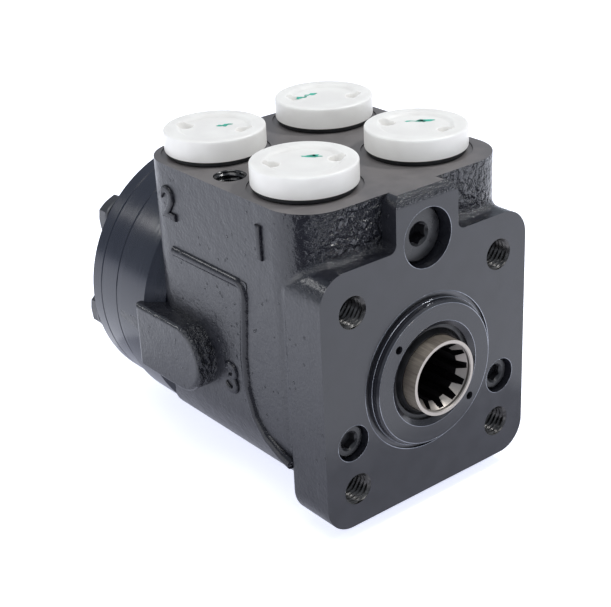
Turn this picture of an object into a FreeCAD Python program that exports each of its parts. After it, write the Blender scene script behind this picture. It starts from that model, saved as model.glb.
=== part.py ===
import FreeCAD, Part
import math
import os

V = FreeCAD.Vector
OVER = 1.0
FAR = 60.0
X_AXIS = V(1, 0, 0)
Y_AXIS = V(0, 1, 0)
Z_AXIS = V(0, 0, 1)

# Frame: origin at the centre of the mounting face, on the shaft axis.
# +Y runs along the shaft to the back, +Z is up, the ports are on top.

# Housing outside
HALF_WIDTH = 41.0
FLANGE_TOP = 42.2
FLANGE_BOTTOM = -41.7
FLANGE_THICK = 17.0
FLANGE_CORNER_R = 9.5
BODY_BOTTOM = -41.0
BODY_CORNER_R = 26.5
BLOCK_FRONT = 6.2
BLOCK_BACK = 88.5
BLOCK_CORNER_R = 14.0
PORT_FACE = 58.0
REAR_RIM_STEP = 1.2
REAR_RIM_FRONT = 86.0
REAR_RIM_DRAFT = 5.0
REAR_FACE = 100.4
VALVE_BOSS_HALF = 12.2
VALVE_BOSS_NOSE_R = 3.2
PAD_PROUD = 7.0
PAD_FRONT = 53.0
PAD_BACK = 87.6
PAD_Z = -2.7
PAD_HALF = 11.3
RIB_WIDTH = 2.6
RIB_PROUD = 0.9
RIB_TOP = 29.8
RIB_BACK = 71.7
RIB_FRONT = 35.0
RIB_KNEE = (37.4, 6.0)
RIB_BEND = (33.6, -14.0)
RIB_FOOT = (21.0, -22.0)
COVE_R = 3.0
CAST_EDGE_R = 1.6
PAD_EDGE_R = 1.4
SINK = 1.0

# Standard flange interface
BOLT_SQUARE = 58.37
M10_TAP_R = 4.25
M10_DEPTH = 18.0
TOP_BOLT_X = 32.7
TOP_BOLT_Y = 50.2
TOP_BOLT_DEPTH = 16.0

# Ports
PORT_X = 21.94
PORT_FRONT_Y = 28.12
PORT_PITCH_Y = 44.14
PORT_DEPTH = 16.0
PORT_MOUTH = 1.3
SPOT_DEPTH = 0.4
PASSAGE_R = 4.0
PASSAGE_X = 20.0
PASSAGE_FOOT = 12.0

# Valve bore, sleeve and spool
BORE_R = 19.05
RUN = 0.05
SLEEVE_R = BORE_R - RUN
SPOOL_R = 14.45
SLEEVE_BORE_R = SPOOL_R + RUN
NECK_R = 12.0
SPOOL_BORE_R = 10.2
SPOOL_TIP = -6.74
SPOOL_BACK = 98.0
TIP_RECESS = 1.1
TIP_BORE_R = 10.7
GROOVE_R = 22.0
GROOVE_WIDTH = 5.0
GROOVE_STATIONS = {"left_front": 24.5, "right_front": 33.0, "right_back": 67.0, "left_back": 76.0}
METER_Y = 52.0
METER_HOLE_R = 2.5
METER_SIDE_R = 2.0
METER_CIRCLE_R = 26.0
SLEEVE_PORT_R = 2.0
SLEEVE_PORT_COUNT = 6
SLEEVE_METER_R = 1.2
SLEEVE_FRONT_PORTS_Y = 44.0
SPOOL_STEP_GAP = 0.15
SPOOL_GROOVE_WIDTH = 2.2
SPOOL_GROOVE_DEPTH = 1.2
SPOOL_GROOVES = ((45.0, 20.0, 0.0), (56.0, 24.0, 30.0))

# Input spline: 12 teeth
SPLINE_TEETH = 12
INPUT_MINOR_R = 8.73
INPUT_SPLINE_BACK = 14.0
INPUT_ROOT_SHARE = 0.62
INPUT_TIP_SHARE = 0.34

# Gland, its ring and seals
GLAND_BORE_R = 25.2
GLAND_DEPTH = 9.0
GLAND_FACE = -2.8
GLAND_FACE_R = 22.5
GLAND_STEP_Y = -0.9
GLAND_RIM_R = 23.7
GLAND_HOLE_R = 15.3
GLAND_HOLE_MOUTH_R = 16.9
PULLER_R = 19.4
PULLER_HOLE_R = 1.3
PULLER_ANGLE = 138.0
RING_FRONT = 0.7
RING_THICK = 1.6
RING_INNER_R = 23.75
RING_GROOVE_R = 26.4
RING_GAP = 6.0
FIT = 0.05
SNUG = 0.02
GLAND_CHAMFER = 0.6
GLAND_NECK_CLEAR = 0.2
GLAND_RACE_CLEAR = 0.8
PULLER_DEPTH = 6.0
SHAFT_SEAL_FRONT = 4.0
SHAFT_SEAL_LONG = 3.0
SHAFT_SEAL_DEEP = 3.0
O_RING_WIRE = 1.05
DUST_SEAL_BACK = 1.6
DUST_SEAL_FRONT = -0.6
DUST_LIP_FRONT = -1.9
DUST_RIM = 1.3

# Thrust bearing
RACE_THICK = 1.8
NEEDLE_R = 1.0
NEEDLE_COUNT = 24
CAGE_NECK_CLEAR = 1.2
CAGE_INSET = 1.6
CAGE_THICK = 1.2
NEEDLE_INSET = 0.7
RACE_NECK_CLEAR = 0.9
BEARING_POCKET_STEP = 1.15
BEARING_GAP = 0.04
RACE_CLEAR = 0.3
SHAFT_LIP = 0.8
LIP_DEEP = 0.7
DUST_GROOVE = 0.6
DUST_LIP = 0.7

# Rear stack: its bolts and gears keep in proportion to its radius
STACK_R = 45.0
STACK_SCALE = STACK_R / 45.0
PLATE_THICK = 4.0
RING_WIDTH = 9.6
COVER_THICK = 6.0
PLATE_HOLE_R = 12.0
BOLT_CIRCLE_R = 37.5 * STACK_SCALE
BOLT_COUNT = 7
M8_R = 4.0
M8_TAP_R = 3.4
M8_CLEAR_R = 4.3
M8_HEAD_AF = 13.0
M8_HEAD_HIGH = 5.3
BOLT_LENGTH = 35.0
M8_SHANK_FRONT = 0.6
M8_HEAD_CHAMFER = 1.0
M8_HEAD_CROWN_R = 6.2
COVER_CHAMFER = 0.6
WASHER_R = 7.5
WASHER_THICK = 1.2
STACK_SEAL_INSET = 1.8
STACK_SEAL_WIRE = 0.9

# Gerotor
LOBES = 6
TOOTH_R = 7.0 * STACK_SCALE
TOOTH_CIRCLE_R = 30.0 * STACK_SCALE
ORBIT = 2.6 * STACK_SCALE
STAR_CLEAR = 0.08
SIDE_CLEAR = 0.03
POCKET_R = 28.6 * STACK_SCALE

# Cardan shaft, cross pin and centring springs
PIN_Y = 34.0
PIN_R = 4.0
PIN_SLOT_TWIST = 10.0
CARDAN_HEAD_R = 9.3
CARDAN_SHANK_R = 6.2
CARDAN_ROOT_R = 7.0
CARDAN_TIP_R = 8.6
CARDAN_FRONT = 27.0
CARDAN_HEAD_LONG = 14.5
CARDAN_HEAD_TAPER = 4.0
CARDAN_END_GAP = 0.47
CARDAN_SPLINE_INSET = 0.3
CARDAN_BORE_MARGIN = 0.12
CARDAN_BEVEL = 1.2
CARDAN_RUNOUT = 1.5
CARDAN_SLOT_OVER = 0.5
CROWN = 0.8
SPLINE_ROOT_SHARE = 0.66
SPLINE_TIP_SHARE = 0.44
STAR_MINOR_R = 7.35
STAR_MAJOR_R = 9.0
SPLINE_FLANK = 0.22
SPRING_Y = 22.0
SPRING_HIGH = 6.0
LEAF_THICK = 0.5
LEAF_BOW = 0.9
SPRING_RING_R = 18.0
SPRING_RING_LONG = 9.0
WINDOW_CLEAR = 0.1
SPACER_R = 6.6
SPACER_HOLE_R = 1.5
SPACER_THICK = 1.7
PIN_HOLE_CLEAR = 0.02
PIN_SLOT_CLEAR = 0.2
STAR_STEPS = 24

# Valves
RELIEF_Z = 43.3
RELIEF_COUNTER_R = 9.3
RELIEF_SET_BACK = 4.0
RELIEF_HEAD = 6.0
RELIEF_THREAD_R = 7.0
RELIEF_CHAMBER_R = 4.6
RELIEF_HEX = 6.0
RELIEF_HEX_DEEP = 5.0
RELIEF_THREAD_LONG = 11.0
RELIEF_THREAD_SPARE = 1.0
RELIEF_SEAL_THICK = 0.8
RELIEF_SEAT_PLACE = 36.0
RELIEF_SEAT_LONG = 4.0
RELIEF_SEAT_HOLE_R = 2.35
RELIEF_OUTLET_R = 2.5
RELIEF_OUTLET_LONG = 14.0
POPPET_LONG = 9.0
POPPET_CONE = 3.0
POPPET_TIP_R = 1.9
POPPET_TIP_LONG = 1.0
RELIEF_COIL_R = 3.3
RELIEF_COIL_WIRE = 0.7
SPRING_TURNS = 5
SPRING_CLEAR = 0.05
SHOCK_X = 30.4
SHOCK_Z = -13.0
SHOCK_COUNTER_R = 5.75
SHOCK_SET_BACK = 2.0
SHOCK_THREAD_R = 4.6
SHOCK_CHAMBER_R = 3.2
SHOCK_BALL_R = 2.6
SHOCK_HEX = 5.0
SHOCK_HEX_DEEP = 3.0
SHOCK_HEAD = 3.0
SHOCK_THREAD_LONG = 8.5
SHOCK_THREAD_SPARE = 0.5
SHOCK_SEAT = 32.0
SHOCK_OUTLET_R = 1.6
SHOCK_OUTLET_LONG = 6.0
SHOCK_COIL_R = 2.2
SHOCK_COIL_WIRE = 0.5
SHOCK_COIL_REACH = 2.25
PLUG_EDGE = 0.9
HEX_MOUTH = 0.8
REAR_BALL_R = 3.0
REAR_BALL_HOLE_R = 1.8
SUCTION_PIN_HOLE_R = 2.0
BALL_CLEAR = 0.03
REAR_VALVE_FOOT = 69.0
REAR_OUTLET_LONG = 5.0
M8_TAP_SPARE = 1.5
POCKET_CLEAR = 0.4
VALVE_HOLES = (0, 1, 6)
CHECK_SEAT_HIGH = 2.5
BALL_TRAVEL = 1.2

# Port plugs and their seals
PLUG_THREAD_R = 9.2
PLUG_THREAD_LENGTH = 12.0
PLUG_THREAD_CLEAR = 0.1
PLUG_WALL = 2.0
PLUG_HOLLOW = 4.0
PLUG_HEAD_HIGH = 6.85
PLUG_RIM = 3.85
PLUG_DISH_DEPTH = 2.0
PLUG_EDGE_R = 0.8
PLUG_HOLE_R = 2.5
PLUG_HOLE_INSET = 0.1
PLUG_HOLE_DEPTH = 2.2
PLUG_TURNS = (150.0, 115.0, 125.0, 142.0)
SEAL_CLEAR = 1.8
SEAL_WIDTH = 4.3
SEAL_THICK = 1.51
SEAL_GAP = 0.02
SEAL_EDGE = 0.4
PLUG_LIP = 0.65
SPOT_MARGIN = 1.25

# Worked out places and sizes
REAR_RIM_R = STACK_R + REAR_RIM_STEP
STACK_SEAL_R = BOLT_CIRCLE_R - M8_CLEAR_R - STACK_SEAL_INSET
BEARING_POCKET_R = BORE_R + BEARING_POCKET_STEP
CAGE_OUTER_R = BEARING_POCKET_R - CAGE_INSET
CAGE_INNER_R = NECK_R + CAGE_NECK_CLEAR
PLATE_BACK = REAR_FACE + PLATE_THICK
RING_BACK = PLATE_BACK + RING_WIDTH
COVER_BACK = RING_BACK + COVER_THICK
HEAD_SEAT = COVER_BACK + WASHER_THICK
BOLT_END = HEAD_SEAT - BOLT_LENGTH
TOOTH_ANGLES = [90.0 + 360.0 * k / BOLT_COUNT for k in range(BOLT_COUNT)]
POCKET_ANGLES = [a + 180.0 / BOLT_COUNT for a in TOOTH_ANGLES]
RACE_BACK = GLAND_DEPTH + RACE_THICK
CAGE_BACK = RACE_BACK + 2 * NEEDLE_R + BEARING_GAP
REAR_RACE_BACK = CAGE_BACK + RACE_THICK / 2 + BEARING_GAP
SLEEVE_FRONT = REAR_RACE_BACK
SLEEVE_BACK = REAR_FACE - 0.2
PIN_HALF = math.sqrt(SLEEVE_R ** 2 - PIN_R ** 2)
CARDAN_SPLINE_FRONT = PLATE_BACK + CARDAN_SPLINE_INSET
SPACER_FRONT = RING_BACK - SIDE_CLEAR - SPACER_THICK
CARDAN_BACK = SPACER_FRONT - CARDAN_END_GAP
RELIEF_HEAD_BACK = RELIEF_SET_BACK + RELIEF_HEAD
RELIEF_PLUG_BACK = RELIEF_HEAD_BACK + RELIEF_THREAD_LONG
RELIEF_SEAT_FRONT = RELIEF_HEAD_BACK + RELIEF_SEAT_PLACE
RELIEF_SEAT_BACK = RELIEF_SEAT_FRONT + RELIEF_SEAT_LONG
SHOCK_HEAD_BACK = SHOCK_SET_BACK + SHOCK_HEAD
SHOCK_PLUG_BACK = SHOCK_HEAD_BACK + SHOCK_THREAD_LONG
PORT_BORE_R = PLUG_THREAD_R + PLUG_THREAD_CLEAR
SEAL_INNER_R = PLUG_THREAD_R + SEAL_CLEAR
SEAL_OUTER_R = SEAL_INNER_R + SEAL_WIDTH
PLUG_HEAD_R = SEAL_OUTER_R + PLUG_LIP
PLUG_DISH_R = PLUG_HEAD_R - PLUG_RIM
SPOT_R = PLUG_HEAD_R + SPOT_MARGIN
PLUG_SEAT = PORT_FACE - SPOT_DEPTH
PLUG_UNDER = PLUG_SEAT + SEAL_THICK + 2 * SEAL_GAP
PLUG_TOP = PLUG_UNDER + PLUG_HEAD_HIGH
PORTS = [(x, PORT_FRONT_Y + PORT_PITCH_Y * row) for row in (0, 1) for x in (-PORT_X, PORT_X)]


def cyl_y(r, y0, y1, x=0.0, z=0.0):
    return Part.makeCylinder(r, y1 - y0, V(x, y0, z), Y_AXIS)


def cyl_z(r, z0, z1, x=0.0, y=0.0):
    return Part.makeCylinder(r, z1 - z0, V(x, y, z0), Z_AXIS)


def cyl_x(r, x0, x1, y=0.0, z=0.0):
    return Part.makeCylinder(r, x1 - x0, V(x0, y, z), X_AXIS)


def tube_y(r_out, r_in, y0, y1, x=0.0, z=0.0):
    return cyl_y(r_out, y0, y1, x, z).cut(cyl_y(r_in, y0 - OVER, y1 + OVER, x, z))


def cone_y(r0, r1, y0, y1, x=0.0, z=0.0):
    return Part.makeCone(r0, r1, y1 - y0, V(x, y0, z), Y_AXIS)


def box(x0, x1, y0, y1, z0, z1):
    return Part.makeBox(x1 - x0, y1 - y0, z1 - z0, V(x0, y0, z0))


def turned_y(points, x=0.0, z=0.0):
    """Revolve a closed outline of (radius, y) points about an axis along Y."""
    wire = Part.makePolygon([V(x + r, y, z) for r, y in points + points[:1]])
    return Part.Face(wire).revolve(V(x, 0, z), Y_AXIS, 360)


def turned_z(points, x=0.0, y=0.0):
    """Revolve a closed outline of (radius, z) points about an axis along Z."""
    wire = Part.makePolygon([V(x + r, y, z) for r, z in points + points[:1]])
    return Part.Face(wire).revolve(V(x, y, 0), Z_AXIS, 360)


def polar(r, degrees):
    """Point (x, z) at a radius and an angle measured from +X towards +Z."""
    a = math.radians(degrees)
    return r * math.cos(a), r * math.sin(a)


def hex_y(across_flats, y0, y1, x=0.0, z=0.0):
    corner = across_flats / math.sqrt(3)
    points = [V(x + corner * math.sin(a), y0, z + corner * math.cos(a))
              for a in [math.radians(60 * k) for k in range(7)]]
    return Part.Face(Part.makePolygon(points)).extrude(V(0, y1 - y0, 0))


def rounded_plate_y(half_width, z_low, z_high, r_low, r_high, y0, y1):
    """Plate along Y with separate corner radii for its lower and upper corners."""
    outline = []
    corners = [(half_width, z_low, r_low, -90), (half_width, z_high, r_high, 0),
               (-half_width, z_high, r_high, 90), (-half_width, z_low, r_low, 180)]
    previous = None
    first = None
    for x, z, r, start in corners:
        cx = x - math.copysign(r, x)
        cz = z + r if z == z_low else z - r
        a, m, b = [polar(r, start + turn) for turn in (0, 45, 90)]
        arc = [V(cx + p[0], y0, cz + p[1]) for p in (a, m, b)]
        if previous is not None:
            outline.append(Part.makeLine(previous, arc[0]))
        else:
            first = arc[0]
        outline.append(Part.Arc(*arc).toShape())
        previous = arc[2]
    outline.append(Part.makeLine(previous, first))
    return Part.Face(Part.Wire(outline)).extrude(V(0, y1 - y0, 0))


def fuse_all(shapes):
    return shapes[0].multiFuse(shapes[1:]) if len(shapes) > 1 else shapes[0]


def cut_all(shape, tools):
    return shape.cut(Part.makeCompound(tools)) if tools else shape


def clean(shape):
    """Merge split faces and return the single solid where there is one."""
    merged = shape.removeSplitter()
    return merged.Solids[0] if len(merged.Solids) == 1 else merged


def save(node, *shapes):
    solid = shapes[0] if len(shapes) == 1 else Part.makeCompound(list(shapes))
    solid.exportStep("parts/" + node + ".step")


def spline_outline(teeth, r_root, r_tip, root_share, tip_share, y):
    """Closed outline of straight-flanked teeth that point outwards."""
    pitch = 2 * math.pi / teeth
    points = []
    for k in range(teeth):
        middle = pitch * k
        corners = ((r_root, -root_share), (r_tip, -tip_share), (r_tip, tip_share), (r_root, root_share))
        for r, share in corners:
            angle = middle + share * pitch / 2
            points.append(V(r * math.sin(angle), y, r * math.cos(angle)))
    return Part.Face(Part.makePolygon(points + points[:1]))


def spline_solid(teeth, r_root, r_tip, root_share, tip_share, y0, y1):
    face = spline_outline(teeth, r_root, r_tip, root_share, tip_share, y0)
    return face.extrude(V(0, y1 - y0, 0))


def coil_spring(r_mean, wire_r, y0, y1, turns, x=0.0, z=0.0):
    """Compression spring of square wire along Y between two faces."""
    height = y1 - y0 - 2 * wire_r
    helix = Part.makeHelix(height / turns, height, r_mean)
    corners = [V(r_mean + sx * wire_r, 0, sz * wire_r) for sx, sz in ((-1, -1), (1, -1), (1, 1), (-1, 1))]
    section = Part.makePolygon(corners + corners[:1])
    coil = Part.Wire(helix).makePipeShell([section], True, True)
    coil.rotate(V(0, 0, 0), X_AXIS, -90)
    coil.translate(V(x, y0 + wire_r, z))
    return coil


def seal_ring(r_mean, wire_r, y):
    """O-ring about the shaft axis, with an eight-sided section that lies flat in its groove."""
    corner = wire_r / math.cos(math.radians(22.5))
    angles = [math.radians(22.5 + 45 * k) for k in range(8)]
    return turned_y([(r_mean + corner * math.cos(a), y + corner * math.sin(a)) for a in angles])


# Housing

def rounded(shape, radius, wanted):
    """Fillet those edges of a shape that a test picks."""
    return shape.makeFillet(radius, [e for e in shape.Edges if wanted(e)])


def at(value, place):
    return abs(value - place) < 0.01


def port_block():
    """Block with the ports: rounded uprights and a round underside."""
    block = box(-HALF_WIDTH, HALF_WIDTH, BLOCK_FRONT, BLOCK_BACK, BODY_BOTTOM, PORT_FACE)
    block = rounded(block, BLOCK_CORNER_R, lambda e: abs(e.tangentAt(e.FirstParameter).z) > 0.99)
    middle = BODY_BOTTOM + BODY_CORNER_R
    for side in (-1, 1):
        x = side * (HALF_WIDTH - BODY_CORNER_R)
        x0, x1 = sorted((x, side * (HALF_WIDTH + OVER)))
        corner = box(x0, x1, BLOCK_FRONT - OVER, BLOCK_BACK + OVER, BODY_BOTTOM - OVER, middle)
        corner = corner.cut(cyl_y(BODY_CORNER_R, BLOCK_FRONT - 2 * OVER, BLOCK_BACK + 2 * OVER, x, middle))
        block = block.cut(corner)
    return block


def flange_plate():
    """Mounting flange with cast edges at its back."""
    plate = rounded_plate_y(HALF_WIDTH, FLANGE_BOTTOM, FLANGE_TOP, FLANGE_CORNER_R, FLANGE_CORNER_R,
                            0, FLANGE_THICK)
    return rounded(plate, CAST_EDGE_R, lambda e: at(e.BoundBox.YMin, FLANGE_THICK))


def rear_rim():
    """Round flange that carries the rear stack, drafted at its front."""
    draft_front = REAR_RIM_FRONT - REAR_RIM_DRAFT
    return turned_y([(0, draft_front), (REAR_RIM_R - REAR_RIM_DRAFT, draft_front),
                     (REAR_RIM_R, REAR_RIM_FRONT), (REAR_RIM_R, REAR_FACE), (0, REAR_FACE)])


def valve_boss():
    """Boss of the relief valve, from the mounting face up to the port face."""
    low = RELIEF_Z - VALVE_BOSS_HALF
    boss = box(-VALVE_BOSS_HALF, VALVE_BOSS_HALF, 0, BLOCK_FRONT + 2 * SINK, low, PORT_FACE)
    return rounded(boss, VALVE_BOSS_NOSE_R,
                   lambda e: at(e.BoundBox.YMax, 0) and at(e.BoundBox.ZMin, PORT_FACE))


def sensing_pad():
    """Pad on the left wall for the load sensing port: a bar with a round front end."""
    x0 = -HALF_WIDTH - PAD_PROUD
    x1 = -HALF_WIDTH + 3 * SINK
    middle = PAD_FRONT + PAD_HALF
    pad = fuse_all([cyl_x(PAD_HALF, x0, x1, middle, PAD_Z),
                    box(x0, x1, middle, PAD_BACK, PAD_Z - PAD_HALF, PAD_Z + PAD_HALF)]).removeSplitter()
    return rounded(pad, PAD_EDGE_R, lambda e: at(e.BoundBox.XMax, x0))


def marking_rib():
    """Raised line on the left wall: along the top, down the front and forward at its foot."""
    x = -HALF_WIDTH - RIB_PROUD
    back, corner, knee, bend, foot = [V(x, y, z) for y, z in (
        (RIB_BACK, RIB_TOP), (RIB_FRONT, RIB_TOP), RIB_KNEE, RIB_BEND, RIB_FOOT)]
    path = Part.Wire([Part.makeLine(back, corner), Part.makeLine(corner, knee),
                      Part.Arc(knee, bend, foot).toShape()])
    outline = path.makeOffset2D(RIB_WIDTH / 2, 0, False, False, True)
    return Part.Face(outline).extrude(V(RIB_PROUD + SINK, 0, 0))


def housing_casting():
    body = clean(port_block().fuse(flange_plate()))
    body = rounded(body, COVE_R,
                   lambda e: at(e.BoundBox.YMax, BLOCK_FRONT) and at(e.BoundBox.ZMin, FLANGE_TOP))
    body = clean(fuse_all([body, rear_rim(), valve_boss(), sensing_pad()]))
    return body.fuse(marking_rib())


def port_cut(x, y):
    spot = cyl_z(SPOT_R, PLUG_SEAT, PORT_FACE + OVER, x, y)
    bore = cyl_z(PORT_BORE_R, PORT_FACE - PORT_DEPTH, PORT_FACE, x, y)
    mouth = Part.makeCone(PORT_BORE_R, PORT_BORE_R + PORT_MOUTH, PORT_MOUTH,
                          V(x, y, PLUG_SEAT - PORT_MOUTH), Z_AXIS)
    return [spot, bore, mouth]


def passages():
    """Ring grooves of the valve bore, their ports, and the seven metering drillings."""
    tools = []
    for name, y in GROOVE_STATIONS.items():
        side = -1 if name.startswith("left") else 1
        tools.append(cyl_y(GROOVE_R, y - GROOVE_WIDTH / 2, y + GROOVE_WIDTH / 2))
        tools.append(cyl_z(PASSAGE_R, PASSAGE_FOOT, PORT_FACE - PORT_DEPTH + OVER, side * PASSAGE_X, y))
    for angle in POCKET_ANGLES:
        x, z = polar(METER_CIRCLE_R, angle)
        tools.append(cyl_y(METER_HOLE_R, METER_Y, REAR_FACE + OVER, x, z))
        tools.append(Part.makeCylinder(METER_SIDE_R, METER_CIRCLE_R - BORE_R + OVER,
                                       V(x, METER_Y + METER_HOLE_R, z), V(-x, 0, -z)))
    return tools


def relief_cavity():
    return [cyl_y(RELIEF_COUNTER_R, -OVER, RELIEF_HEAD_BACK + RELIEF_SEAL_THICK, 0, RELIEF_Z),
            cyl_y(RELIEF_THREAD_R, 0, RELIEF_PLUG_BACK + RELIEF_THREAD_SPARE, 0, RELIEF_Z),
            cyl_y(RELIEF_CHAMBER_R, 0, RELIEF_SEAT_BACK, 0, RELIEF_Z),
            cyl_y(RELIEF_OUTLET_R, 0, RELIEF_SEAT_BACK + RELIEF_OUTLET_LONG, 0, RELIEF_Z),
            cyl_x(RELIEF_OUTLET_R, 0, PASSAGE_X, GROOVE_STATIONS["right_front"], RELIEF_Z - 3)]


def shock_cavity(side):
    x = side * SHOCK_X
    return [cyl_y(SHOCK_COUNTER_R, -OVER, SHOCK_HEAD_BACK, x, SHOCK_Z),
            cyl_y(SHOCK_THREAD_R, 0, SHOCK_PLUG_BACK + SHOCK_THREAD_SPARE, x, SHOCK_Z),
            cyl_y(SHOCK_CHAMBER_R, 0, SHOCK_SEAT, x, SHOCK_Z),
            cyl_y(SHOCK_OUTLET_R, 0, SHOCK_SEAT + SHOCK_OUTLET_LONG, x, SHOCK_Z)]


def rear_holes():
    tools = []
    for number, angle in enumerate(TOOTH_ANGLES):
        x, z = polar(BOLT_CIRCLE_R, angle)
        deep = number in VALVE_HOLES
        foot = REAR_VALVE_FOOT if deep else BOLT_END - M8_TAP_SPARE
        tools.append(cyl_y(M8_TAP_R, foot, REAR_FACE + OVER, x, z))
        if deep:
            tools.append(cyl_y(REAR_BALL_HOLE_R, REAR_VALVE_FOOT - REAR_OUTLET_LONG, REAR_FACE, x, z))
    tools.append(seal_groove(REAR_FACE, -1))
    return tools


def seal_groove(face, side):
    """Ring cut for a stack seal, in the piece that lies on the given side of a face."""
    depth = STACK_SEAL_WIRE * 2
    y0, y1 = (face - depth, face + OVER) if side < 0 else (face - OVER, face + depth)
    return tube_y(STACK_SEAL_R + STACK_SEAL_WIRE + FIT, STACK_SEAL_R - STACK_SEAL_WIRE - FIT, y0, y1)


def make_housing():
    half = BOLT_SQUARE / 2
    tools = [cyl_y(BORE_R, REAR_RACE_BACK, REAR_FACE + OVER),
             cyl_y(BEARING_POCKET_R, 0, REAR_RACE_BACK + POCKET_CLEAR),
             cyl_y(GLAND_BORE_R, -OVER, GLAND_DEPTH),
             cyl_y(RING_GROOVE_R, RING_FRONT - FIT, RING_FRONT + RING_THICK + FIT)]
    for x, y in PORTS:
        tools += port_cut(x, y)
    for sx in (-1, 1):
        for sz in (-1, 1):
            tools.append(cyl_y(M10_TAP_R, -OVER, M10_DEPTH, sx * half, sz * half))
        tools.append(cyl_z(M10_TAP_R, PORT_FACE - TOP_BOLT_DEPTH, PORT_FACE + OVER,
                           sx * TOP_BOLT_X, TOP_BOLT_Y))
        tools += shock_cavity(sx)
    tools += relief_cavity() + passages() + rear_holes()
    body = housing_casting()
    for tool in tools:
        body = body.cut(tool)
    save("housing", clean(body))


# Gland group

def make_gland():
    shoulder = RING_FRONT + RING_THICK + FIT
    outer_r = GLAND_BORE_R - FIT
    neck_r = NECK_R + GLAND_NECK_CLEAR
    rim_r = GLAND_FACE_R + GLAND_CHAMFER
    seal_back = SHAFT_SEAL_FRONT + SHAFT_SEAL_LONG
    bushing = turned_y([(neck_r, GLAND_DEPTH - OVER), (neck_r, DUST_SEAL_BACK),
                        (GLAND_HOLE_R, DUST_SEAL_BACK), (GLAND_HOLE_R, GLAND_FACE + 2 * GLAND_CHAMFER),
                        (GLAND_HOLE_MOUTH_R, GLAND_FACE),
                        (GLAND_FACE_R, GLAND_FACE), (rim_r, GLAND_FACE + GLAND_CHAMFER),
                        (rim_r, GLAND_STEP_Y), (GLAND_RIM_R, GLAND_STEP_Y), (GLAND_RIM_R, shoulder),
                        (outer_r, shoulder), (outer_r, GLAND_DEPTH),
                        (NECK_R + GLAND_RACE_CLEAR, GLAND_DEPTH)])
    bushing = bushing.cut(tube_y(NECK_R + SHAFT_SEAL_DEEP, NECK_R, SHAFT_SEAL_FRONT, seal_back))
    bushing = bushing.cut(tube_y(outer_r + OVER, outer_r - 2 * O_RING_WIRE, SHAFT_SEAL_FRONT, seal_back))
    for angle in (PULLER_ANGLE, PULLER_ANGLE + 180):
        x, z = polar(PULLER_R, angle)
        bushing = bushing.cut(cyl_y(PULLER_HOLE_R, GLAND_FACE - OVER, GLAND_FACE + PULLER_DEPTH, x, z))
    save("gland_bushing", bushing)
    ring = tube_y(RING_GROOVE_R - FIT, RING_INNER_R, RING_FRONT, RING_FRONT + RING_THICK)
    gap = box(-RING_GAP / 2, RING_GAP / 2, RING_FRONT - OVER, RING_FRONT + RING_THICK + OVER,
              -RING_GROOVE_R - OVER, -RING_INNER_R + OVER)
    save("retaining_ring", ring.cut(gap))


def make_gland_seals():
    middle = SHAFT_SEAL_FRONT + SHAFT_SEAL_LONG / 2
    half = SHAFT_SEAL_LONG / 2 - 2 * FIT
    neck_r = NECK_R + RUN
    outer_r = NECK_R + SHAFT_SEAL_DEEP - 2 * FIT
    lip = half - SHAFT_LIP
    shaft_seal = turned_y([(neck_r, middle - half), (neck_r, middle - lip), (NECK_R + LIP_DEEP, middle),
                           (neck_r, middle + lip), (neck_r, middle + half), (outer_r, middle + half),
                           (outer_r, middle - half)])
    save("shaft_seal", shaft_seal)
    save("bushing_o_ring", seal_ring(GLAND_BORE_R - SNUG - O_RING_WIRE, O_RING_WIRE, middle))
    rim_r = GLAND_HOLE_R - DUST_RIM
    dust_seal = turned_y([(GLAND_HOLE_R, DUST_SEAL_BACK), (GLAND_HOLE_R, DUST_SEAL_FRONT),
                          (rim_r, DUST_SEAL_FRONT), (rim_r - DUST_GROOVE, DUST_SEAL_FRONT + SHAFT_LIP),
                          (NECK_R + DUST_GROOVE, DUST_LIP_FRONT), (neck_r, DUST_LIP_FRONT + DUST_LIP / 2),
                          (neck_r, DUST_LIP_FRONT + DUST_LIP), (NECK_R + RACE_NECK_CLEAR, DUST_SEAL_BACK)])
    save("dust_seal", dust_seal)


def make_bearing():
    inner_r = NECK_R + RACE_NECK_CLEAR
    save("bearing_race_front", tube_y(BEARING_POCKET_R - RACE_CLEAR, inner_r, GLAND_DEPTH, RACE_BACK))
    save("bearing_race_rear", tube_y(SLEEVE_R - 2 * FIT, inner_r, CAGE_BACK + BEARING_GAP, REAR_RACE_BACK))
    middle = (RACE_BACK + CAGE_BACK) / 2
    cage = tube_y(CAGE_OUTER_R, CAGE_INNER_R, middle - CAGE_THICK / 2, middle + CAGE_THICK / 2)
    r0 = CAGE_INNER_R + NEEDLE_INSET
    length = CAGE_OUTER_R - CAGE_INNER_R - 2 * NEEDLE_INSET
    needles = []
    for k in range(NEEDLE_COUNT):
        ux, uz = polar(1.0, 360.0 * k / NEEDLE_COUNT)
        out = V(ux, 0, uz)
        needle_r = NEEDLE_R - BEARING_GAP / 2
        needles.append(Part.makeCylinder(needle_r, length, out * r0 + V(0, middle, 0), out))
        pocket = Part.makeCylinder(NEEDLE_R, length + 2 * FIT, out * (r0 - FIT) + V(0, middle, 0), out)
        cage = cage.cut(pocket)
    save("bearing_cage", cage)
    save("bearing_needles", *needles)


# Sleeve, spool and what turns with them

def stadium_x(y, half_high, half_wide, x0, x1):
    """Slot tool along X, rounded at its two ends in Z."""
    reach = half_wide - half_high
    return fuse_all([box(x0, x1, y - half_high, y + half_high, -reach, reach),
                     cyl_x(half_high, x0, x1, y, -reach), cyl_x(half_high, x0, x1, y, reach)])


def ring_of_holes(count, r_hole, y, phase=0.0):
    tools = []
    for k in range(count):
        x, z = polar(1.0, phase + 360.0 * k / count)
        tools.append(Part.makeCylinder(r_hole, FAR, V(0, y, 0), V(x, 0, z)))
    return tools


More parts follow.
